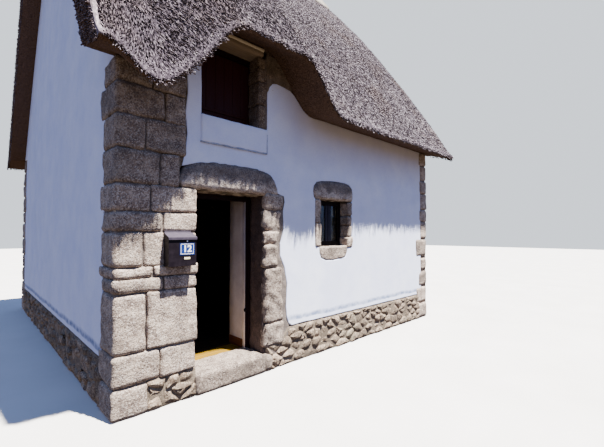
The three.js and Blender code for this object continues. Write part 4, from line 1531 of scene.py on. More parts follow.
@dataclass
class Stonework:
    """The rubble foot, the corner stones, and the dressed stones round the openings."""

    joint: float = 0.006
    proud: float = 0.010
    recess: float = 0.012
    foot_groove: float = 0.014
    foot_end: float = 0.3
    gable_foot_end: float = 0.33
    foot_gap: tuple[float, float] = (-2.04, -1.15)
    short_foot_end: float = 0.28
    short_foot_top: float = 0.275
    rubble_across: float = 0.24
    rubble_tall: float = 0.155
    # Above this height some corner stones take tones that stand in for light: painted shade at the front
    # left, painted sunlight at the front right.
    painted_light_above: float = 2.0
    knocked_below: float = 1.2
    edge_wear: float = 0.03
    knocked_wear: float = 0.055
    door_left: float = -2.05
    door_right: float = -1.18
    side_length: float = 0.36
    jamb_back: float = 0.318
    shallow_back: float = 0.09
    window_back: float = 0.218
    reveal_foot: float = 0.19
    reveal_height: float = 1.88
    left_rows: Rows = (
        (0.0, 0.268, 0.3), (0.275, 0.552, 0.4), (0.558, 1.076, 0.27), (1.082, 1.203, 0.42),
        (1.209, 1.304, 0.33), (1.31, 1.619, 0.24), (1.625, 1.8, 0.41), (1.806, 2.048, 0.3),
        (2.055, 2.357, 0.38), (2.363, 2.66, 0.25), (2.667, 2.94, 0.42), (2.947, 3.155, 0.3))
    right_rows: Rows = (
        (0.0, 0.285, 0.37), (0.292, 0.585, 0.42), (0.592, 0.885, 0.33), (0.892, 1.145, 0.235),
        (1.152, 1.5, 0.43), (1.507, 1.82, 0.24), (1.827, 2.05, 0.27), (2.057, 2.36, 0.235),
        (2.367, 2.62, 0.26), (2.627, 2.9, 0.235), (2.907, 3.155, 0.27))
    right_jamb: Rows = (
        (0.276, 0.549, -0.885), (0.556, 1.19, -0.91), (1.197, 1.474, -0.985), (1.48, 1.632, -0.97),
        (1.638, 1.87, -0.945), (1.876, 2.07, -0.905))
    jamb_mortar: Outline = (
        (-1.125, 0.0), (-0.86, 0.0), (-0.79, 0.47), (-0.835, 0.53), (-0.852, 0.7), (-0.832, 0.98),
        (-0.876, 1.18), (-0.945, 1.33), (-0.947, 1.48), (-0.892, 1.65), (-0.898, 1.88),
        (-0.872, 1.99), (-0.89, 2.1), (-1.125, 2.1))
    window_left: Rows = ((1.43, 1.742, -0.221), (1.748, 2.066, -0.224))
    window_right: Sequence[Area] = (
        (1.398, 1.55, 0.345, 0.464), (1.556, 1.72, 0.366, 0.452), (1.726, 1.86, 0.352, 0.447),
        (1.866, 2.066, 0.368, 0.454))
    loft_side: Outline = ((2.83, 3.112), (3.114, 3.39), (3.392, 3.55), (3.552, 3.69))
    loft_rough: Area = (-1.16, -0.76, 3.3, 3.74)

    def core(self, name: str, outer: Sequence[tuple[int, int]], back: float | None = None) -> None:
        """The mortar behind the stones that stand for a CAD node, set back on its outer sides.

        Args:
            name: The CAD node.
            outer: The sides to set back, as an axis and -1 or 1.
            back: How far, where it isn't the usual recess.
        """
        ends = [Vector(corner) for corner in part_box(name)]
        for axis, side in outer:
            ends[(side + 1) // 2][axis] -= side * (back or self.recess)
        part = block_part(ends[0], ends[1], 0.002, 1)
        add_piece(f"{name}_mortar", one_mesh(part), POINTING_MORTAR, stands_for=[name])

    def rubble(self) -> None:
        """The rough stones of the foot on all four sides, and the mortar between them."""
        inner = HALF_LENGTH - self.foot_end
        side = HALF_DEPTH - self.gable_foot_end
        top = PLINTH_TOP - self.foot_groove
        gap_left, gap_right = self.foot_gap
        short = (-HALF_LENGTH + self.short_foot_end, gap_left, 0.0, self.short_foot_top)
        stretches = {
            WallFace.FRONT: [(gap_right, inner, 0.0, top), short],
            WallFace.RIGHT: [(-side, side, 0.0, top)],
            WallFace.BACK: [(-inner, inner, 0.0, top)],
            WallFace.LEFT: [(-side, side, 0.0, top)],
        }
        beds = Heap()
        for seed, (face, areas) in enumerate(stretches.items()):
            rng = random.Random(137 + seed)
            heap = Heap()
            cell, skip = (0.04, self.behind_jamb) if face is WallFace.FRONT else (0.06, None)
            rubble = Rubble(face, self.rubble_across, self.rubble_tall, cell=cell, skip=skip)
            for area in areas:
                rubble.stones(heap, area, rng)
                rubble.bed(beds, area, float(seed))
            add_piece(f"rubble_foot_{face.name.lower()}", heap.mesh(), RUBBLE_GRANITE)
        add_piece("rubble_foot_mortar", beds.mesh(), BEDDING_MORTAR)

    def behind_jamb(self, x: float, z: float) -> bool:
        """Whether a place on the front lies behind the right door jamb."""
        return -1.3 < x < -0.88 and z > 0.285

    def quoins(self) -> None:
        """The blocks up the four corners: the front ones by the photograph, the back ones like them."""
        corners = {
            "front_left": (-1, -1, self.left_rows), "front_right": (1, -1, self.right_rows),
            "back_left": (-1, 1, self.right_rows), "back_right": (1, 1, self.left_rows),
        }
        for seed, (name, (side, end, rows)) in enumerate(corners.items()):
            rng = random.Random(201 + seed)
            heap = Heap()
            for i, (z0, z1, along) in enumerate(rows):
                outer_x = side * (HALF_LENGTH + self.proud)
                inner_x = side * (HALF_LENGTH - along)
                outer_y = end * (HALF_DEPTH + self.proud + rng.uniform(0, 0.006))
                inner_y = end * (HALF_DEPTH - self.side_length - (0.07 if i % 3 == 1 else 0.0))
                low = (min(inner_x, outer_x), min(inner_y, outer_y), z0)
                high = (max(inner_x, outer_x), max(inner_y, outer_y), z1)
                tone = rng.random()
                # Painted shade on the upper front-left stones, painted sunlight on the upper front-right
                # ones.
                if name == "front_left" and z0 > self.painted_light_above:
                    tone *= 0.25
                elif name == "front_right" and z0 > self.painted_light_above:
                    tone = 1.0
                knocked = name == "front_right" and z0 < self.knocked_below
                wear = self.knocked_wear if knocked else self.edge_wear
                heap.add(block_stone(low, high, rng, wear, 0.06, 0.012, 0.009), tone)
            add_piece(f"corner_stones_{name}", heap.mesh(), DRESSED_GRANITE)
            self.core(f"quoins_{name}", ((0, side), (1, end)))

    def jambs(self) -> None:
        """The stones of both door jambs and the mortar between them."""
        rng = random.Random(301)
        left = Heap()
        for z0, z1, along in self.left_rows[1:]:
            inner = self.door_left + rng.uniform(-0.004, 0.01)
            deep = self.jamb_back
            if z0 > DOOR_LINTEL.points[0][1] - 0.01:
                inner = -2.232 if z1 < 2.4 else -2.164
                deep = self.shallow_back
            low = (-HALF_LENGTH + along + self.joint, FACE - self.proud - rng.uniform(0, 0.008), z0)
            # Stones above the lintel take dark tones: painted shade.
            tone = 0.55 + 0.4 * rng.random() if z1 < 2.1 else 0.2 * rng.random()
            left.add(block_stone(low, (inner, FACE + deep, z1), rng, 0.02, 0.04, 0.011, 0.008), tone)
        low, high = (-2.42, FACE - 0.008, 3.162), (-2.17, FACE + self.shallow_back, 3.34)
        # The block over the lintel takes a dark tone: painted shade.
        left.add(block_stone(low, high, rng, 0.03, 0.05, 0.01), 0.1)
        add_piece("door_jamb_stones_left", left.mesh(), DRESSED_GRANITE)
        self.core("door_jamb_left", ((0, 1), (1, -1)))
        right = Heap()
        for z0, z1, outer in self.right_jamb:
            x = self.door_right - 0.012 + rng.uniform(-0.012, 0.006)
            low = (x, FACE - self.proud - rng.uniform(0, 0.014), z0)
            stone = block_stone(low, (outer, FACE + self.shallow_back, z1), rng, 0.034, 0.03, 0.02, 0.016)
            right.add(stone, (0.45 * rng.random()) if z0 > 0.3 else 0.0)
        add_piece("door_jamb_stones_right", right.mesh(), DRESSED_GRANITE)
        mortar = outline_stone(self.jamb_mortar, 0.004, 0.316, 0.012)
        roughen(mortar, 0.005, 0.07, 3.0, 0.05)
        mesh = one_mesh(mortar, place=WallFace.FRONT.plane())
        add_piece("door_jamb_right_mortar", mesh, POINTING_MORTAR, stands_for=["door_jamb_right"])

    def splayed_reveal(self) -> None:
        """The washed reveal right of the doorway, wider at the frame, and the strip over the post."""
        front, back = FACE + 0.03, FACE + 0.319
        part = bmesh.new()
        corners = ((-1.188, front), (-1.168, back), (-1.1, back), (-1.1, front))
        foot = part.faces.new([part.verts.new((x, y, self.reveal_foot)) for x, y in corners])
        draw_out(part, [foot], (0, 0, self.reveal_height))
        roughen(part, 0.011, 0.08, 5.0, 0.035)
        add_piece("door_reveal_wash", one_mesh(part), BROWN_WASH)
        cover = block_part((-1.186, FACE + 0.316, self.reveal_foot), (-1.156, FACE + 0.33, 2.06), 0.003)
        add_piece("frame_cover_strip", one_mesh(cover), DARK_RED_UPRIGHT)

    def doorway(self) -> None:
        """The loaf-shaped lintel and the pale sill, worn round at its front and right end."""
        DOOR_LINTEL.build()
        low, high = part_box("door_sill")
        rng = random.Random(311)
        heap = Heap()
        top = high.z - 0.012
        heap.add(block_stone((low.x, low.y, 0.0), (high.x, high.y, top), rng, 0.03, 0.05, 0.007, 0.003), 0.6)
        shoulder_low = (self.door_right - 0.06, low.y + 0.003, 0.0)
        shoulder_high = (self.door_right + 0.1, low.y + 0.355, top - 0.012)
        heap.add(block_stone(shoulder_low, shoulder_high, rng, 0.045, 0.04, 0.01, 0.008), 0.4)
        add_piece("door_sill_stone", heap.mesh(), TRODDEN_GRANITE, stands_for=["door_sill"])

    def window(self) -> None:
        """The stones round the ground-floor window."""
        WINDOW_LINTEL.build()
        WINDOW_SILL.build()
        rng = random.Random(331)
        heap = Heap()
        front, back = FACE - 0.012, FACE + self.window_back
        for z0, z1, inner in self.window_left:
            heap.add(block_stone((-0.332, front, z0), (inner, back, z1), rng, 0.018, 0.03, 0.008, 0.005), 0.6)
        for z0, z1, inner, outer in self.window_right:
            low = (inner - 0.006, front, z0)
            stone = block_stone(low, (outer, back, z1), rng, 0.024, 0.03, 0.01, 0.008)
            heap.add(stone, 0.4 + 0.5 * rng.random())
        add_piece("window_jamb_stones", heap.mesh(), DRESSED_GRANITE)
        self.core("window_jamb_left", ((0, 1), (1, -1)))
        self.core("window_jamb_right", ((0, -1), (1, -1)), 0.036)

    def loft(self) -> None:
        """The rough stones beside the loft opening and its limewashed sill block."""
        rng = random.Random(351)
        side = Heap()
        for z0, z1 in self.loft_side:
            low = (-1.278 + rng.uniform(-0.006, 0.008), FACE + 0.005, z0)
            stone = block_stone(low, (-1.147, FACE + 0.226, z1), rng, 0.02, 0.035, 0.01, 0.006)
            side.add(stone, 0.3 * rng.random())
        add_piece("loft_jamb_stones", side.mesh(), RUBBLE_GRANITE)
        top, bed = Heap(), Heap()
        rubble = Rubble(WallFace.FRONT, 0.2, 0.15, (-0.012, -0.001))
        rubble.stones(top, self.loft_rough, rng)
        # Their tones are lowered: painted shade under the thatch.
        top.tones = [0.4 * tone for tone in top.tones]
        add_piece("loft_rough_stones", top.mesh(), RUBBLE_GRANITE)
        rubble.bed(bed, self.loft_rough, 8.0)
        add_piece("loft_rough_mortar", bed.mesh(), BEDDING_MORTAR)
        self.core("loft_jamb", ((0, -1), (1, -1)))
        low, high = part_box("loft_sill")
        sill = block_stone(low, high, rng, 0.014, 0.05, 0.005, 0.004)
        add_piece("loft_sill_block", one_mesh(sill), LIMEWASH, stands_for=["loft_sill"])
        # A blue-grey strip along the foot and right end of the sill block: painted shadow of the proud block.
        front, back, edge = low.y + 0.004, FACE + 0.0195, low.z + 0.009
        strips = []
        for corner, opposite in (
            ((low.x - 0.004, front, low.z - 0.006), (high.x + 0.006, back, edge)),
            ((high.x - 0.006, front, edge), (high.x + 0.005, back, high.z - 0.06)),
        ):
            strip = block_part(corner, opposite, 0.001)
            roughen(strip, 0.004, 0.05, 9.0, 0.03)
            strips.append(strip)
        add_piece("loft_sill_painted_shadow", one_mesh(*strips), SILL_SHADOW_STRIP)

    def build(self) -> None:
        """Makes all the stonework."""
        self.rubble()
        self.quoins()
        self.jambs()
        self.splayed_reveal()
        self.doorway()
        self.window()
        self.loft()


@dataclass
class LimewashCoats:
    """The limewashed render on each side, with hand-cut edges against the stones."""

    form: RoofForm = field(default_factory=RoofForm)
    thick: float = 0.0196
    edge_step: float = 0.05
    edge_waver: float = 0.005
    waver_seed: int = 5
    arris: float = 0.009
    end: float = 0.228
    under_thatch: float = 0.004
    gable_end: float = 0.352
    gable_steps: int = 8
    loft_edge: Outline = (
        (-0.715, 3.36), (-0.79, 3.405), (-0.9, 3.42), (-1.0, 3.43), (-1.07, 3.41), (-1.115, 3.36),
        (-1.148, 3.28), (-1.152, 3.0), (-1.15, 2.86), (-1.162, 2.816), (-1.172, 2.57), (-1.19, 2.55),
        (-2.0, 2.55), (-2.004, 2.84))
    left_edge: Outline = (
        (-2.165, 3.3), (-2.15, 3.0), (-2.17, 2.8), (-2.15, 2.6), (-2.165, 2.42), (-2.2, 2.27))
    door_edge: Outline = (
        (-2.1, 2.3), (-1.998, 2.325), (-1.87, 2.341), (-1.424, 2.35), (-1.19, 2.328), (-1.105, 2.293),
        (-1.042, 2.228), (-0.995, 2.15), (-0.985, 2.09), (-0.885, 2.06), (-0.872, 1.99), (-0.896, 1.88),
        (-0.89, 1.65), (-0.945, 1.48), (-0.943, 1.33), (-0.874, 1.18), (-0.83, 0.98), (-0.85, 0.7),
        (-0.832, 0.56), (-0.8, 0.49), (-0.755, PLINTH_TOP))
    window_edge: Outline = (
        (-0.325, 2.06), (-0.358, 2.1), (-0.37, 2.17), (-0.358, 2.245), (-0.305, 2.3), (-0.2, 2.323),
        (0.0, 2.34), (0.16, 2.344), (0.303, 2.342), (0.403, 2.32), (0.462, 2.267), (0.483, 2.19),
        (0.478, 2.11), (0.455, 2.05), (0.448, 1.85), (0.456, 1.6), (0.46, 1.394), (0.35, 1.392),
        (0.345, 1.33), (0.308, 1.262), (0.2, 1.24), (0.04, 1.226), (-0.12, 1.232), (-0.215, 1.268),
        (-0.25, 1.34), (-0.252, 1.42), (-0.335, 1.425), (-0.335, 1.74))

    def wavy(self, corners: Outline, seed: float) -> list[tuple[float, float]]:
        """Divides the edges of an outline and lets them waver.

        Args:
            corners: The outline's corners.
            seed: Shifts the pattern.

        Returns:
            The wavering outline.
        """
        noise.seed_set(self.waver_seed)
        points = []
        for i, here in enumerate(corners):
            start = Vector(here)
            run = Vector(corners[(i + 1) % len(corners)]) - start
            count = max(1, round(run.length / self.edge_step))
            for step in range(count):
                spot = start + run * step / count
                shift = noise.noise_vector(Vector((spot.x * 6, spot.y * 6, seed)))
                spot += Vector((shift.x, shift.y)) * self.edge_waver
                points.append((spot.x, spot.y))
        return points

    def panel(self, outlines: Sequence[Outline], face: WallFace) -> Mesh:
        """A coat from its outer outline and the outlines of its holes.

        Args:
            outlines: Closed outlines in wall x and z.
            face: The wall that it covers.

        Returns:
            The mesh.
        """
        part = bmesh.new()
        for outline in outlines:
            verts = [part.verts.new((x, self.thick, z)) for x, z in outline]
            for i, vert in enumerate(verts):
                part.edges.new((vert, verts[(i + 1) % len(verts)]))
        bmesh.ops.triangle_fill(part, edges=part.edges[:], use_beauty=True, normal=(0, -1, 0))
        part.normal_update()
        if part.faces[:][0].normal.y > 0:
            bmesh.ops.reverse_faces(part, faces=part.faces[:])
        draw_out(part, part.faces[:], (0, self.arris * 0.4 - self.thick, 0))
        outer = [
            item for item in part.faces
            if item.calc_center_median().y < self.arris and item.normal.y < -0.9]
        bmesh.ops.inset_region(
            part, faces=outer, thickness=self.arris, depth=self.arris * 0.4, use_even_offset=True)
        bmesh.ops.transform(part, matrix=face.plane(), verts=part.verts[:])
        return keep_mesh(part, "coat")

    def wall_head(self, centimetres: Iterable[int]) -> list[tuple[float, float]]:
        """The front wall's head just under the thatch.

        Args:
            centimetres: The x of each point in whole centimetres.

        Returns:
            The points in wall x and z.
        """
        points = []
        for value in centimetres:
            arch = float(self.form.wall_arch.height(np.float64(value / 100)))
            points.append((value / 100, WALL_TOP + self.form.wall_rise * arch - self.under_thatch))
        return points

    def front(self) -> Mesh:
        """The front coat, round the doorway, the window and the loft opening.

        Returns:
            The mesh.
        """
        right = HALF_LENGTH - self.end
        outer = [
            (right, PLINTH_TOP), (right, WALL_TOP - self.under_thatch),
            *self.wall_head(range(255, -70, -10)), *self.loft_edge,
            *self.wall_head(range(-201, -217, -5)), *self.left_edge, *self.door_edge]
        return self.panel([self.wavy(outer, 1.0), self.wavy(self.window_edge, 2.0)], WallFace.FRONT)

    def gable(self, face: WallFace, seed: float) -> Mesh:
        """The coat of a gable, up to the thatch.

        Args:
            face: Which gable.
            seed: Shifts the waver of its edges.

        Returns:
            The mesh.
        """
        edge = HALF_DEPTH - self.gable_end
        seat = self.form.seat_end
        slope = []
        for i in range(self.gable_steps + 1):
            run = seat + (ROOF_RUN - seat) * i / self.gable_steps
            slope.append((ROOF_RUN - run, self.form.under(run) - 0.006))
        corners = [(-edge, PLINTH_TOP), (edge, PLINTH_TOP), (edge, WALL_TOP - 0.01)]
        corners += slope
        corners += [(-y, z) for y, z in reversed(slope[:-1])]
        corners += [(-edge, WALL_TOP - 0.01)]
        return self.panel([self.wavy(corners, seed)], face)

    def build(self) -> None:
        """Makes the four coats."""
        end = HALF_LENGTH - self.end
        top = WALL_TOP - self.under_thatch
        back = [(-end, PLINTH_TOP), (end, PLINTH_TOP), (end, top), (-end, top)]
        for name, mesh in (
            ("front", self.front()), ("back", self.panel([self.wavy(back, 3.0)], WallFace.BACK)),
            ("left_gable", self.gable(WallFace.LEFT, 4.0)), ("right_gable", self.gable(WallFace.RIGHT, 5.0)),
        ):
            add_piece(f"limewash_{name}", mesh, LIMEWASH, stands_for=[f"{name}_render"])


@dataclass
class Doorway:
    """What shows in the doorway: embrasure plaster, floor boards, and the boarded leaf."""

    plaster: float = 0.012
    bead: float = 0.014
    post: float = 0.06
    rebate_post: float = 0.045
    stop_deep: float = 0.021
    skirting: float = 0.115
    keeper_z: float = 0.67
    keeper_radius: float = 0.016
    board: float = 0.128
    floor_board: float = 0.145
    loft_board: float = 0.17
    board_rise: float = 0.006
    # How far in front of the wall's inner face the painted shade of the room floor starts.
    painted_shade_edge: float = 0.16
    rail: float = 0.11
    rail_proud: float = 0.012
    knob: Outline = (
        (0.0, 0.006), (0.05, 0.006), (0.062, 0.010), (0.066, 0.018), (0.074, 0.0235), (0.084, 0.0235),
        (0.092, 0.017), (0.0955, 0.008), (0.096, 0.0005))

    def embrasure(self) -> None:
        """Pale plaster on both sides behind the frame, with a painted bead along its two edges."""
        frame_low, frame_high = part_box("door_frame")
        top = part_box("door_inner_lintel")[0].z - 0.004
        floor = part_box("ground_floor")[1].z
        right = frame_high.x
        for name, wall, inward in (("left", frame_low.x, 1), ("right", right, -1)):
            near, far = sorted((wall, wall + inward * self.plaster))
            low, high = (near, frame_high.y + 0.002, floor), (far, WALL_INSIDE - 0.012, top)
            part = block_part(low, high, 0.002, 1)
            roughen(part, 0.0015, 0.3, 9.0, 0.12)
            add_piece(f"embrasure_plaster_{name}", one_mesh(part), EMBRASURE_PLASTER)
            near, far = sorted((wall, wall + inward * (self.plaster + 0.006)))
            beads = [
                block_part((near, y, floor), (far, y + self.bead, top), 0.003)
                for y in (frame_high.y + 0.001, WALL_INSIDE - 0.014)]
            add_piece(f"embrasure_beads_{name}", one_mesh(*beads), DARK_RED_UPRIGHT)
        stop_back = frame_low.y + self.stop_deep
        head = frame_high.z - self.post
        liner = []
        for wide, start, end, cover in (
            (self.post, frame_low.y - 0.001, stop_back - 0.001, 0.002),
            (self.rebate_post, stop_back, frame_high.y, 0.001),
        ):
            side = right - wide
            liner.append(block_part((side - 0.0008, start, floor), (side + cover, end, head), 0.0005, 1))
        add_piece("frame_liner", one_mesh(*liner), EMBRASURE_PLASTER)
        low = (right - self.plaster - 0.009, frame_high.y + 0.016, floor + 0.007)
        board = block_part(low, (right - self.plaster, WALL_INSIDE - 0.016, floor + self.skirting), 0.003)
        add_piece("embrasure_skirting", one_mesh(board, smooth=False), SKIRTING_STAIN)

    def keeper(self) -> None:
        """The small iron stop on the right side of the frame."""
        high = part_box("door_frame")[1]
        y = high.y - 0.066
        head = bmesh.new()
        bmesh.ops.create_uvsphere(head, u_segments=16, v_segments=10, radius=self.keeper_radius)
        bmesh.ops.scale(head, vec=(1, 1, 1.5), verts=head.verts)
        bmesh.ops.translate(head, vec=(high.x - 0.056, y, self.keeper_z), verts=head.verts)
        pin = bmesh.new()
        spot = Matrix.Translation((high.x - 0.046, y, self.keeper_z))
        bmesh.ops.create_cone(
            pin, cap_ends=True, segments=12, radius1=0.007, radius2=0.009, depth=0.024,
            matrix=spot @ Matrix.Rotation(math.pi / 2, 4, "Y"))
        add_piece("frame_stop", one_mesh(head, pin), BLACK_IRON)

    def floor_boards(self) -> None:
        """Boards over the ground floor and over the loft floor, along the house."""
        rng = random.Random(401)
        low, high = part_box("ground_floor")
        frame_low, frame_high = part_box("door_frame")
        near, room, loft = Heap(), Heap(), Heap()
        y = low.y + 0.004
        while y < high.y - 0.01:
            end = min(y + self.floor_board, high.y)
            left, right = (frame_low.x + 0.015, frame_high.x) if y < WALL_INSIDE else (low.x, high.x)
            top = high.z + self.board_rise
            board = block_part((left, y, high.z - 0.01), (right - 0.012, end - 0.003, top), 0.0015, 1)
            # Boards deeper than the sun reaches take the nearly black finish: painted shade.
            (near if y < WALL_INSIDE - self.painted_shade_edge else room).add(board, rng.random())
            y = end
        add_piece("threshold_boards", near.mesh(False), PINE_BOARDS)
        add_piece("room_floor_boards_painted_shade", room.mesh(False), ROOM_FLOOR_PAINTED_SHADE)
        low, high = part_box("loft_floor")
        y = low.y
        while y < high.y - 0.01:
            end = min(y + self.loft_board, high.y)
            top = high.z + self.board_rise
            loft.add(block_part((low.x, y, high.z), (high.x, end - 0.004, top), 0.0015, 1), rng.random())
            y = end
        add_piece("loft_floor_boards", loft.mesh(False), PINE_BOARDS)

    def leaf(self) -> None:
        """The boarded leaf, drawn where it stands open, with its boards and two rails."""
        low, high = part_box("front_door")
        boards = Heap()
        count = round((high.y - low.y) / self.board)
        wide = (high.y - low.y) / count
        for i in range(count):
            y = low.y + i * wide
            start, end = (low.x + 0.002, y + 0.0006, low.z), (high.x, y + wide - 0.0006, high.z)
            boards.add(block_part(start, end, 0.004), 0.3 + 0.4 * (i % 3) / 2)
        add_piece("door_boards", boards.mesh(False), DARK_RED_UPRIGHT, Body.DOOR, ["front_door"])
        rails = []
        for z in (low.z + 0.02, high.z - 0.14):
            start = (high.x - 0.002, low.y + 0.012, z)
            rails.append(block_part(start, (high.x + self.rail_proud, high.y - 0.012, z + self.rail), 0.004))
        add_piece("door_rails", one_mesh(*rails, smooth=False), DARK_RED_UPRIGHT, Body.DOOR)

    def lock(self) -> None:
        """The lock case, its spindle and a turned knob."""
        low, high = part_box("door_lock")
        y = (low.y + high.y) / 2
        z = (low.z + high.z) / 2
        case_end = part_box("front_door")[0].x - 0.0003
        case = block_part((low.x, low.y, low.z), (case_end, high.y, high.z), 0.004)
        knob = bmesh.new()
        scale = (high.x - case_end) / self.knob[-1][0]
        chain = [knob.verts.new((case_end + along * scale, y, z + radius)) for along, radius in self.knob]
        for first, second in zip(chain, chain[1:]):
            knob.edges.new((first, second))
        bmesh.ops.spin(
            knob, geom=knob.verts[:] + knob.edges[:], cent=(0, y, z), axis=(1, 0, 0), dvec=(0, 0, 0),
            angle=math.tau, steps=20, use_merge=True, use_duplicate=False)
        bmesh.ops.holes_fill(knob, edges=[edge for edge in knob.edges if edge.is_boundary], sides=0)
        bmesh.ops.recalc_face_normals(knob, faces=knob.faces[:])
        add_piece("door_lock_case", one_mesh(case, knob), BLACK_IRON, Body.DOOR, ["door_lock"])

    def build(self) -> None:
        """Makes the doorway's pieces."""
        self.embrasure()
        self.keeper()
        self.floor_boards()
        self.leaf()
        self.lock()


@dataclass
class Openings:
    """The window's casement, and the loft's boarded hatch under its beam."""

    stile: float = 0.024
    rail: float = 0.026
    set_back: float = 0.014
    meeting: Rows = ((0.016, 0.05, 0.0), (0.069, 0.02, 0.006), (0.092, 0.05, 0.0))
    hatch_boards: int = 6
    hatch_rails: Rows = ((0.0, 0.055, 0.022), (0.075, 0.03, 0.014))
    # The height, depth and standout of the pale strip along the beam's upper front edge: a painted highlight,
    # partly limewash.
    highlight_foot: float = 0.052
    highlight_back: float = 0.1
    highlight_proud: float = 0.012
    beam_back: float = 0.24

    def casement(self) -> None:
        """Two narrow leaves, whose meeting stiles are wide and painted blue-grey."""
        low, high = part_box("window_glass")
        front = low.y - self.set_back
        back = low.y - 0.001
        bars = [
            block_part((x, front, low.z), (x + self.stile, back, high.z), 0.003)
            for x in (low.x, high.x - self.stile)]
        bars += [
            block_part((low.x, front + 0.001, z), (high.x, back, z + self.rail), 0.003)
            for z in (low.z, high.z - self.rail)]
        add_piece("window_casement", one_mesh(*bars, smooth=False), SOOTED_PAINT)
        stiles = [
            block_part((x, front - out, low.z + 0.02), (x + wide, back, high.z - 0.02), 0.005)
            for x, wide, out in self.meeting]
        add_piece("window_meeting_stiles", one_mesh(*stiles, smooth=False), BLUE_GREY_STILE)

    def hatch(self) -> None:
        """Upright boards in the loft frame, over a moulded bottom rail."""
        low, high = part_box("loft_hatch")
        wide = (high.x - low.x) / self.hatch_boards
        boards = []
        for i in range(self.hatch_boards):
            x = low.x + i * wide
            boards.append(block_part((x + 0.0008, low.y, low.z), (x + wide - 0.0008, high.y, high.z), 0.005))
        add_piece("hatch_boards", one_mesh(*boards, smooth=False), HATCH_PAINT, stands_for=["loft_hatch"])
        rails = [
            block_part((low.x, low.y - out, low.z + up), (high.x, low.y + 0.002, low.z + up + tall), 0.006, 3)
            for up, tall, out in self.hatch_rails]
        add_piece("hatch_bottom_rails", one_mesh(*rails), DARK_RED_LEVEL)

    def beam(self) -> None:
        """The rounded, weathered beam over the loft opening."""
        low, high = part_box("loft_lintel")
        rng = random.Random(501)
        middle = low.z + self.highlight_foot
        end = high.x - 0.06
        back = low.y + self.beam_back
        face = block_stone(low, (end, back, middle + 0.01), rng, 0.018, 0.05, 0.005, 0.004)
        # The pale upper front edge is a painted highlight, partly limewash run over the beam.
        highlight_low = (low.x, low.y - self.highlight_proud, middle)
        highlight_edge = block_stone(
            highlight_low, (end, low.y + self.highlight_back, high.z), rng, 0.016, 0.05, 0.005, 0.004)
        add_piece("loft_lintel_highlight_edge", one_mesh(highlight_edge), OAK_PAINTED_HIGHLIGHT)
        rest_low = (low.x, low.y + self.highlight_back + 0.01, middle)
        rest = block_stone(rest_low, high, rng, 0.01, 0.09, 0.003, 0.003)
        inner_low = (low.x, back + 0.01, low.z + 0.004)
        inner = block_stone(inner_low, (high.x, high.y, middle), rng, 0.02, 0.09, 0.004)
        heap = Heap()
        for part, tone in ((face, 0.5), (rest, 0.1), (inner, 0.0)):
            heap.add(part, tone)
        add_piece("loft_lintel_beam", heap.mesh(), WEATHERED_OAK, stands_for=["loft_lintel"])

    def build(self) -> None:
        """Makes both openings' joinery."""
        self.casement()
        self.hatch()
        self.beam()


@dataclass
class Letterbox:
    """Small things on the letterbox: the plate's rim and figures, its screw and the bare label."""

    house_number: str = "12"
    rim: float = 0.0034
    rim_inset: float = 0.0085
    relief: float = 0.0009
    figure_size: float = 0.08804
    figure_offset: float = 0.0022
    figure_extrude: float = 0.0008
    screw_radius: float = 0.0075
    label_half: float = 0.029
    label_drop: float = 0.042

    def plate(self) -> None:
        """The white rim and figures on the enamelled plate."""
        low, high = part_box("number_plate")
        y0, y1 = low.y - self.relief, low.y + 0.001
        edge = self.rim_inset
        x0, x1, z0, z1 = low.x + edge, high.x - edge, low.z + edge, high.z - edge
        rim = self.rim
        strips = [
            block_part((xa, y0, za), (xb, y1, zb), 0.0004, 1) for xa, xb, za, zb in (
                (x0, x1, z0, z0 + rim), (x0, x1, z1 - rim, z1),
                (x0, x0 + rim, z0 + rim, z1 - rim), (x1 - rim, x1, z0 + rim, z1 - rim))]
        add_piece("plate_rim", one_mesh(*strips, smooth=False), WHITE_ENAMEL)
        curve = bpy.data.curves.new("figures", "FONT")
        curve.body = self.house_number
        curve.align_x = "CENTER"
        curve.align_y = "CENTER"
        curve.size = self.figure_size
        curve.offset = self.figure_offset
        curve.extrude = self.figure_extrude
        text = bpy.data.objects.new("figures", curve)
        bpy.context.scene.collection.objects.link(text)
        bpy.context.view_layer.update()
        mesh = bpy.data.meshes.new_from_object(text.evaluated_get(bpy.context.evaluated_depsgraph_get()))
        bpy.data.objects.remove(text)
        bpy.data.curves.remove(curve)
        middle = Vector(((low.x + high.x) / 2, y0, (low.z + high.z) / 2))
        mesh.transform(Matrix.Translation(middle) @ Matrix.Rotation(math.pi / 2, 4, "X"))
        add_piece("plate_figures", mesh, WHITE_ENAMEL)

    def fittings(self) -> None:
        """The round-headed screw over the plate and the bare name label under it."""
        low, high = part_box("number_plate")
        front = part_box("letterbox_body")[0].y
        middle = (low.x + high.x) / 2
        screw = bmesh.new()
        bmesh.ops.create_uvsphere(screw, u_segments=16, v_segments=10, radius=self.screw_radius)
        bmesh.ops.scale(screw, vec=(1, 0.5, 1), verts=screw.verts)
        bmesh.ops.translate(screw, vec=(middle, front - 0.001, high.z + 0.018), verts=screw.verts)
        add_piece("plate_screw", one_mesh(screw), WHITE_ENAMEL)
        half, z = self.label_half, low.z - self.label_drop
        start = (middle - half, front - 0.003, z + 0.002)
        label = block_part(start, (middle + half, front + 0.001, z + 0.02), 0.001, 1)
        add_piece("bare_name_label", one_mesh(label, smooth=False), CREAM_CARD)

    def build(self) -> None:
        """Makes the plate's details and the fittings."""
        self.plate()
        self.fittings()


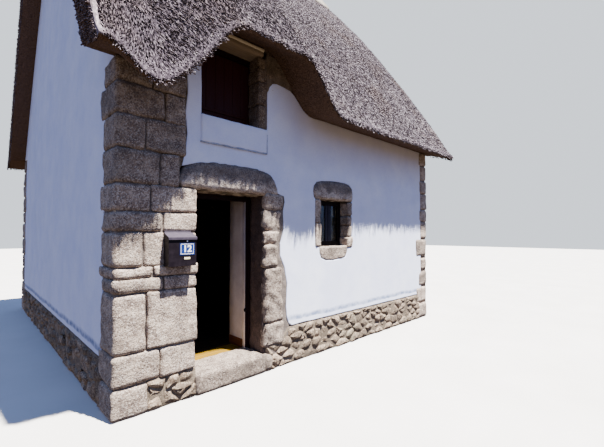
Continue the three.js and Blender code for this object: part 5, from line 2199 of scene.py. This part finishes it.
CARRIED_OVER: Sequence[tuple[Finish, str]] = (
    (BEDDING_MORTAR, "front_wall_left front_wall_over_door front_wall_right back_wall"),
    (BEDDING_MORTAR, "left_gable_wall right_gable_wall"),
    (POINTING_MORTAR, "chimney_stack"),
    (BEAM_OAK, "door_inner_lintel ceiling_beam_1 ceiling_beam_2 ceiling_beam_3 loft_floor ground_floor"),
    (SOOTED_PAINT, "window_frame"),
    (DARK_RED_UPRIGHT, "loft_frame door_frame"),
    (GLASS, "window_glass"),
    (BLACK_IRON, "door_strap_lower door_strap_upper door_pintle_lower door_pintle_upper"),
    (BOX_PAINT, "letterbox_body"),
    (LID_PAINT, "letterbox_lid"),
    (BLUE_ENAMEL, "number_plate"),
)


def dress_frame() -> None:
    """Gives every CAD node that still shows its finish."""
    for finish, names in CARRIED_OVER:
        for name in names.split():
            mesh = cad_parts[name].data
            mesh.materials.clear()
            mesh.materials.append(material_for(finish))
            LOG.info("%s: dressed in %s", name, finish.name)


@dataclass
class Studio:
    """The pale floor, the light and the camera."""

    camera_place: tuple[float, float, float] = (-3.72, -6.457, 1.61)
    camera_tilt: float = 91.55
    camera_turn: float = -43.95
    lens: float = 20.86
    sensor: float = 36.0
    clip_end: float = 200.0
    sun_heading: tuple[float, float, float] = (-0.18, 0.49, -1.45)
    sun_energy: float = 32.0
    sun_angle: float = 1.1
    sun_colour: str = "#fffbf7"
    sky: str = "#8eadf2"
    sky_strength: float = 1.0
    ground_glow: str = "#ffe3c8"
    glow_share: float = 0.42
    backdrop: str = "#dfe6ef"
    backdrop_strength: float = 1.6
    floor_half: float = 40.0

    def floor(self) -> None:
        """The plain pale floor, which isn't part of the cottage and throws no light on it."""
        part = bmesh.new()
        bmesh.ops.create_grid(part, x_segments=1, y_segments=1, size=self.floor_half)
        mesh = keep_mesh(part, "studio_floor")
        material, add, place = new_material("pale_floor_paint")
        patches = add("TexNoise", Vector=place, Scale=per_mm(900.0), Detail=3.0, Roughness=0.55)
        colour = add("ValToRGB", stops=[(0.3, "#cfccc6"), (0.7, "#d8d5d0")], Fac=patches)
        end_surface(add, Base_Color=colour, Roughness=0.9)
        mesh.materials.append(material)
        piece = bpy.data.objects.new("studio_floor", mesh)
        piece.visible_diffuse = False
        piece.visible_glossy = False
        bpy.context.scene.collection.objects.link(piece)

    def light(self) -> None:
        """A sun high at the front right, blue light from above, a faint warm glow from below."""
        lamp = bpy.data.lights.new("key_light", "SUN")
        lamp.energy = self.sun_energy
        lamp.angle = math.radians(self.sun_angle)
        lamp.color = linear(self.sun_colour)[:3]
        holder = bpy.data.objects.new("key_light", lamp)
        holder.rotation_euler = Vector(self.sun_heading).to_track_quat("-Z", "Y").to_euler()
        bpy.context.scene.collection.objects.link(holder)
        world = bpy.data.worlds.new("studio")
        world.use_nodes = True
        world.node_tree.nodes.clear()
        add = partial(add_node, world.node_tree)
        heading = add("TexCoord").outputs["Generated"]
        height = add("SeparateXYZ", Vector=heading).outputs["Z"]
        above = add("MapRange", Value=height, From_Min=-0.08, From_Max=0.08)
        glow = [value * self.glow_share for value in linear(self.ground_glow)[:3]] + [1.0]
        around = add("Mix", MIX, in_0=above, in_6=glow, in_7=self.sky).outputs[2]
        fill = add("Background", Color=around, Strength=self.sky_strength)
        seen = add("Background", Color=self.backdrop, Strength=self.backdrop_strength)
        to_camera = add("LightPath").outputs["Is Camera Ray"]
        either = add("MixShader", in_0=to_camera, in_1=fill, in_2=seen)
        add("OutputWorld", Surface=either)
        bpy.context.scene.world = world

    def camera(self) -> None:
        """The camera at the photograph's place and angle."""
        data = bpy.data.cameras.new("camera")
        data.lens = self.lens
        data.sensor_width = self.sensor
        data.clip_end = self.clip_end
        holder = bpy.data.objects.new("camera", data)
        holder.location = self.camera_place
        holder.rotation_euler = (math.radians(self.camera_tilt), 0.0, math.radians(self.camera_turn))
        bpy.context.scene.collection.objects.link(holder)
        bpy.context.scene.camera = holder

    def build(self) -> None:
        """Sets up the studio."""
        self.camera()
        self.light()
        self.floor()


def main() -> None:
    """Builds the classes in order."""
    logging.basicConfig(level=logging.INFO, format="%(name)s: %(message)s")
    Studio().build()
    dress_frame()
    ThatchSlope(True, 106000).build()
    ThatchSlope(False, 31000).build()
    RidgeAndChimney().build()
    Stonework().build()
    LimewashCoats().build()
    Doorway().build()
    Openings().build()
    Letterbox().build()


if __name__ == "__main__":
    main()
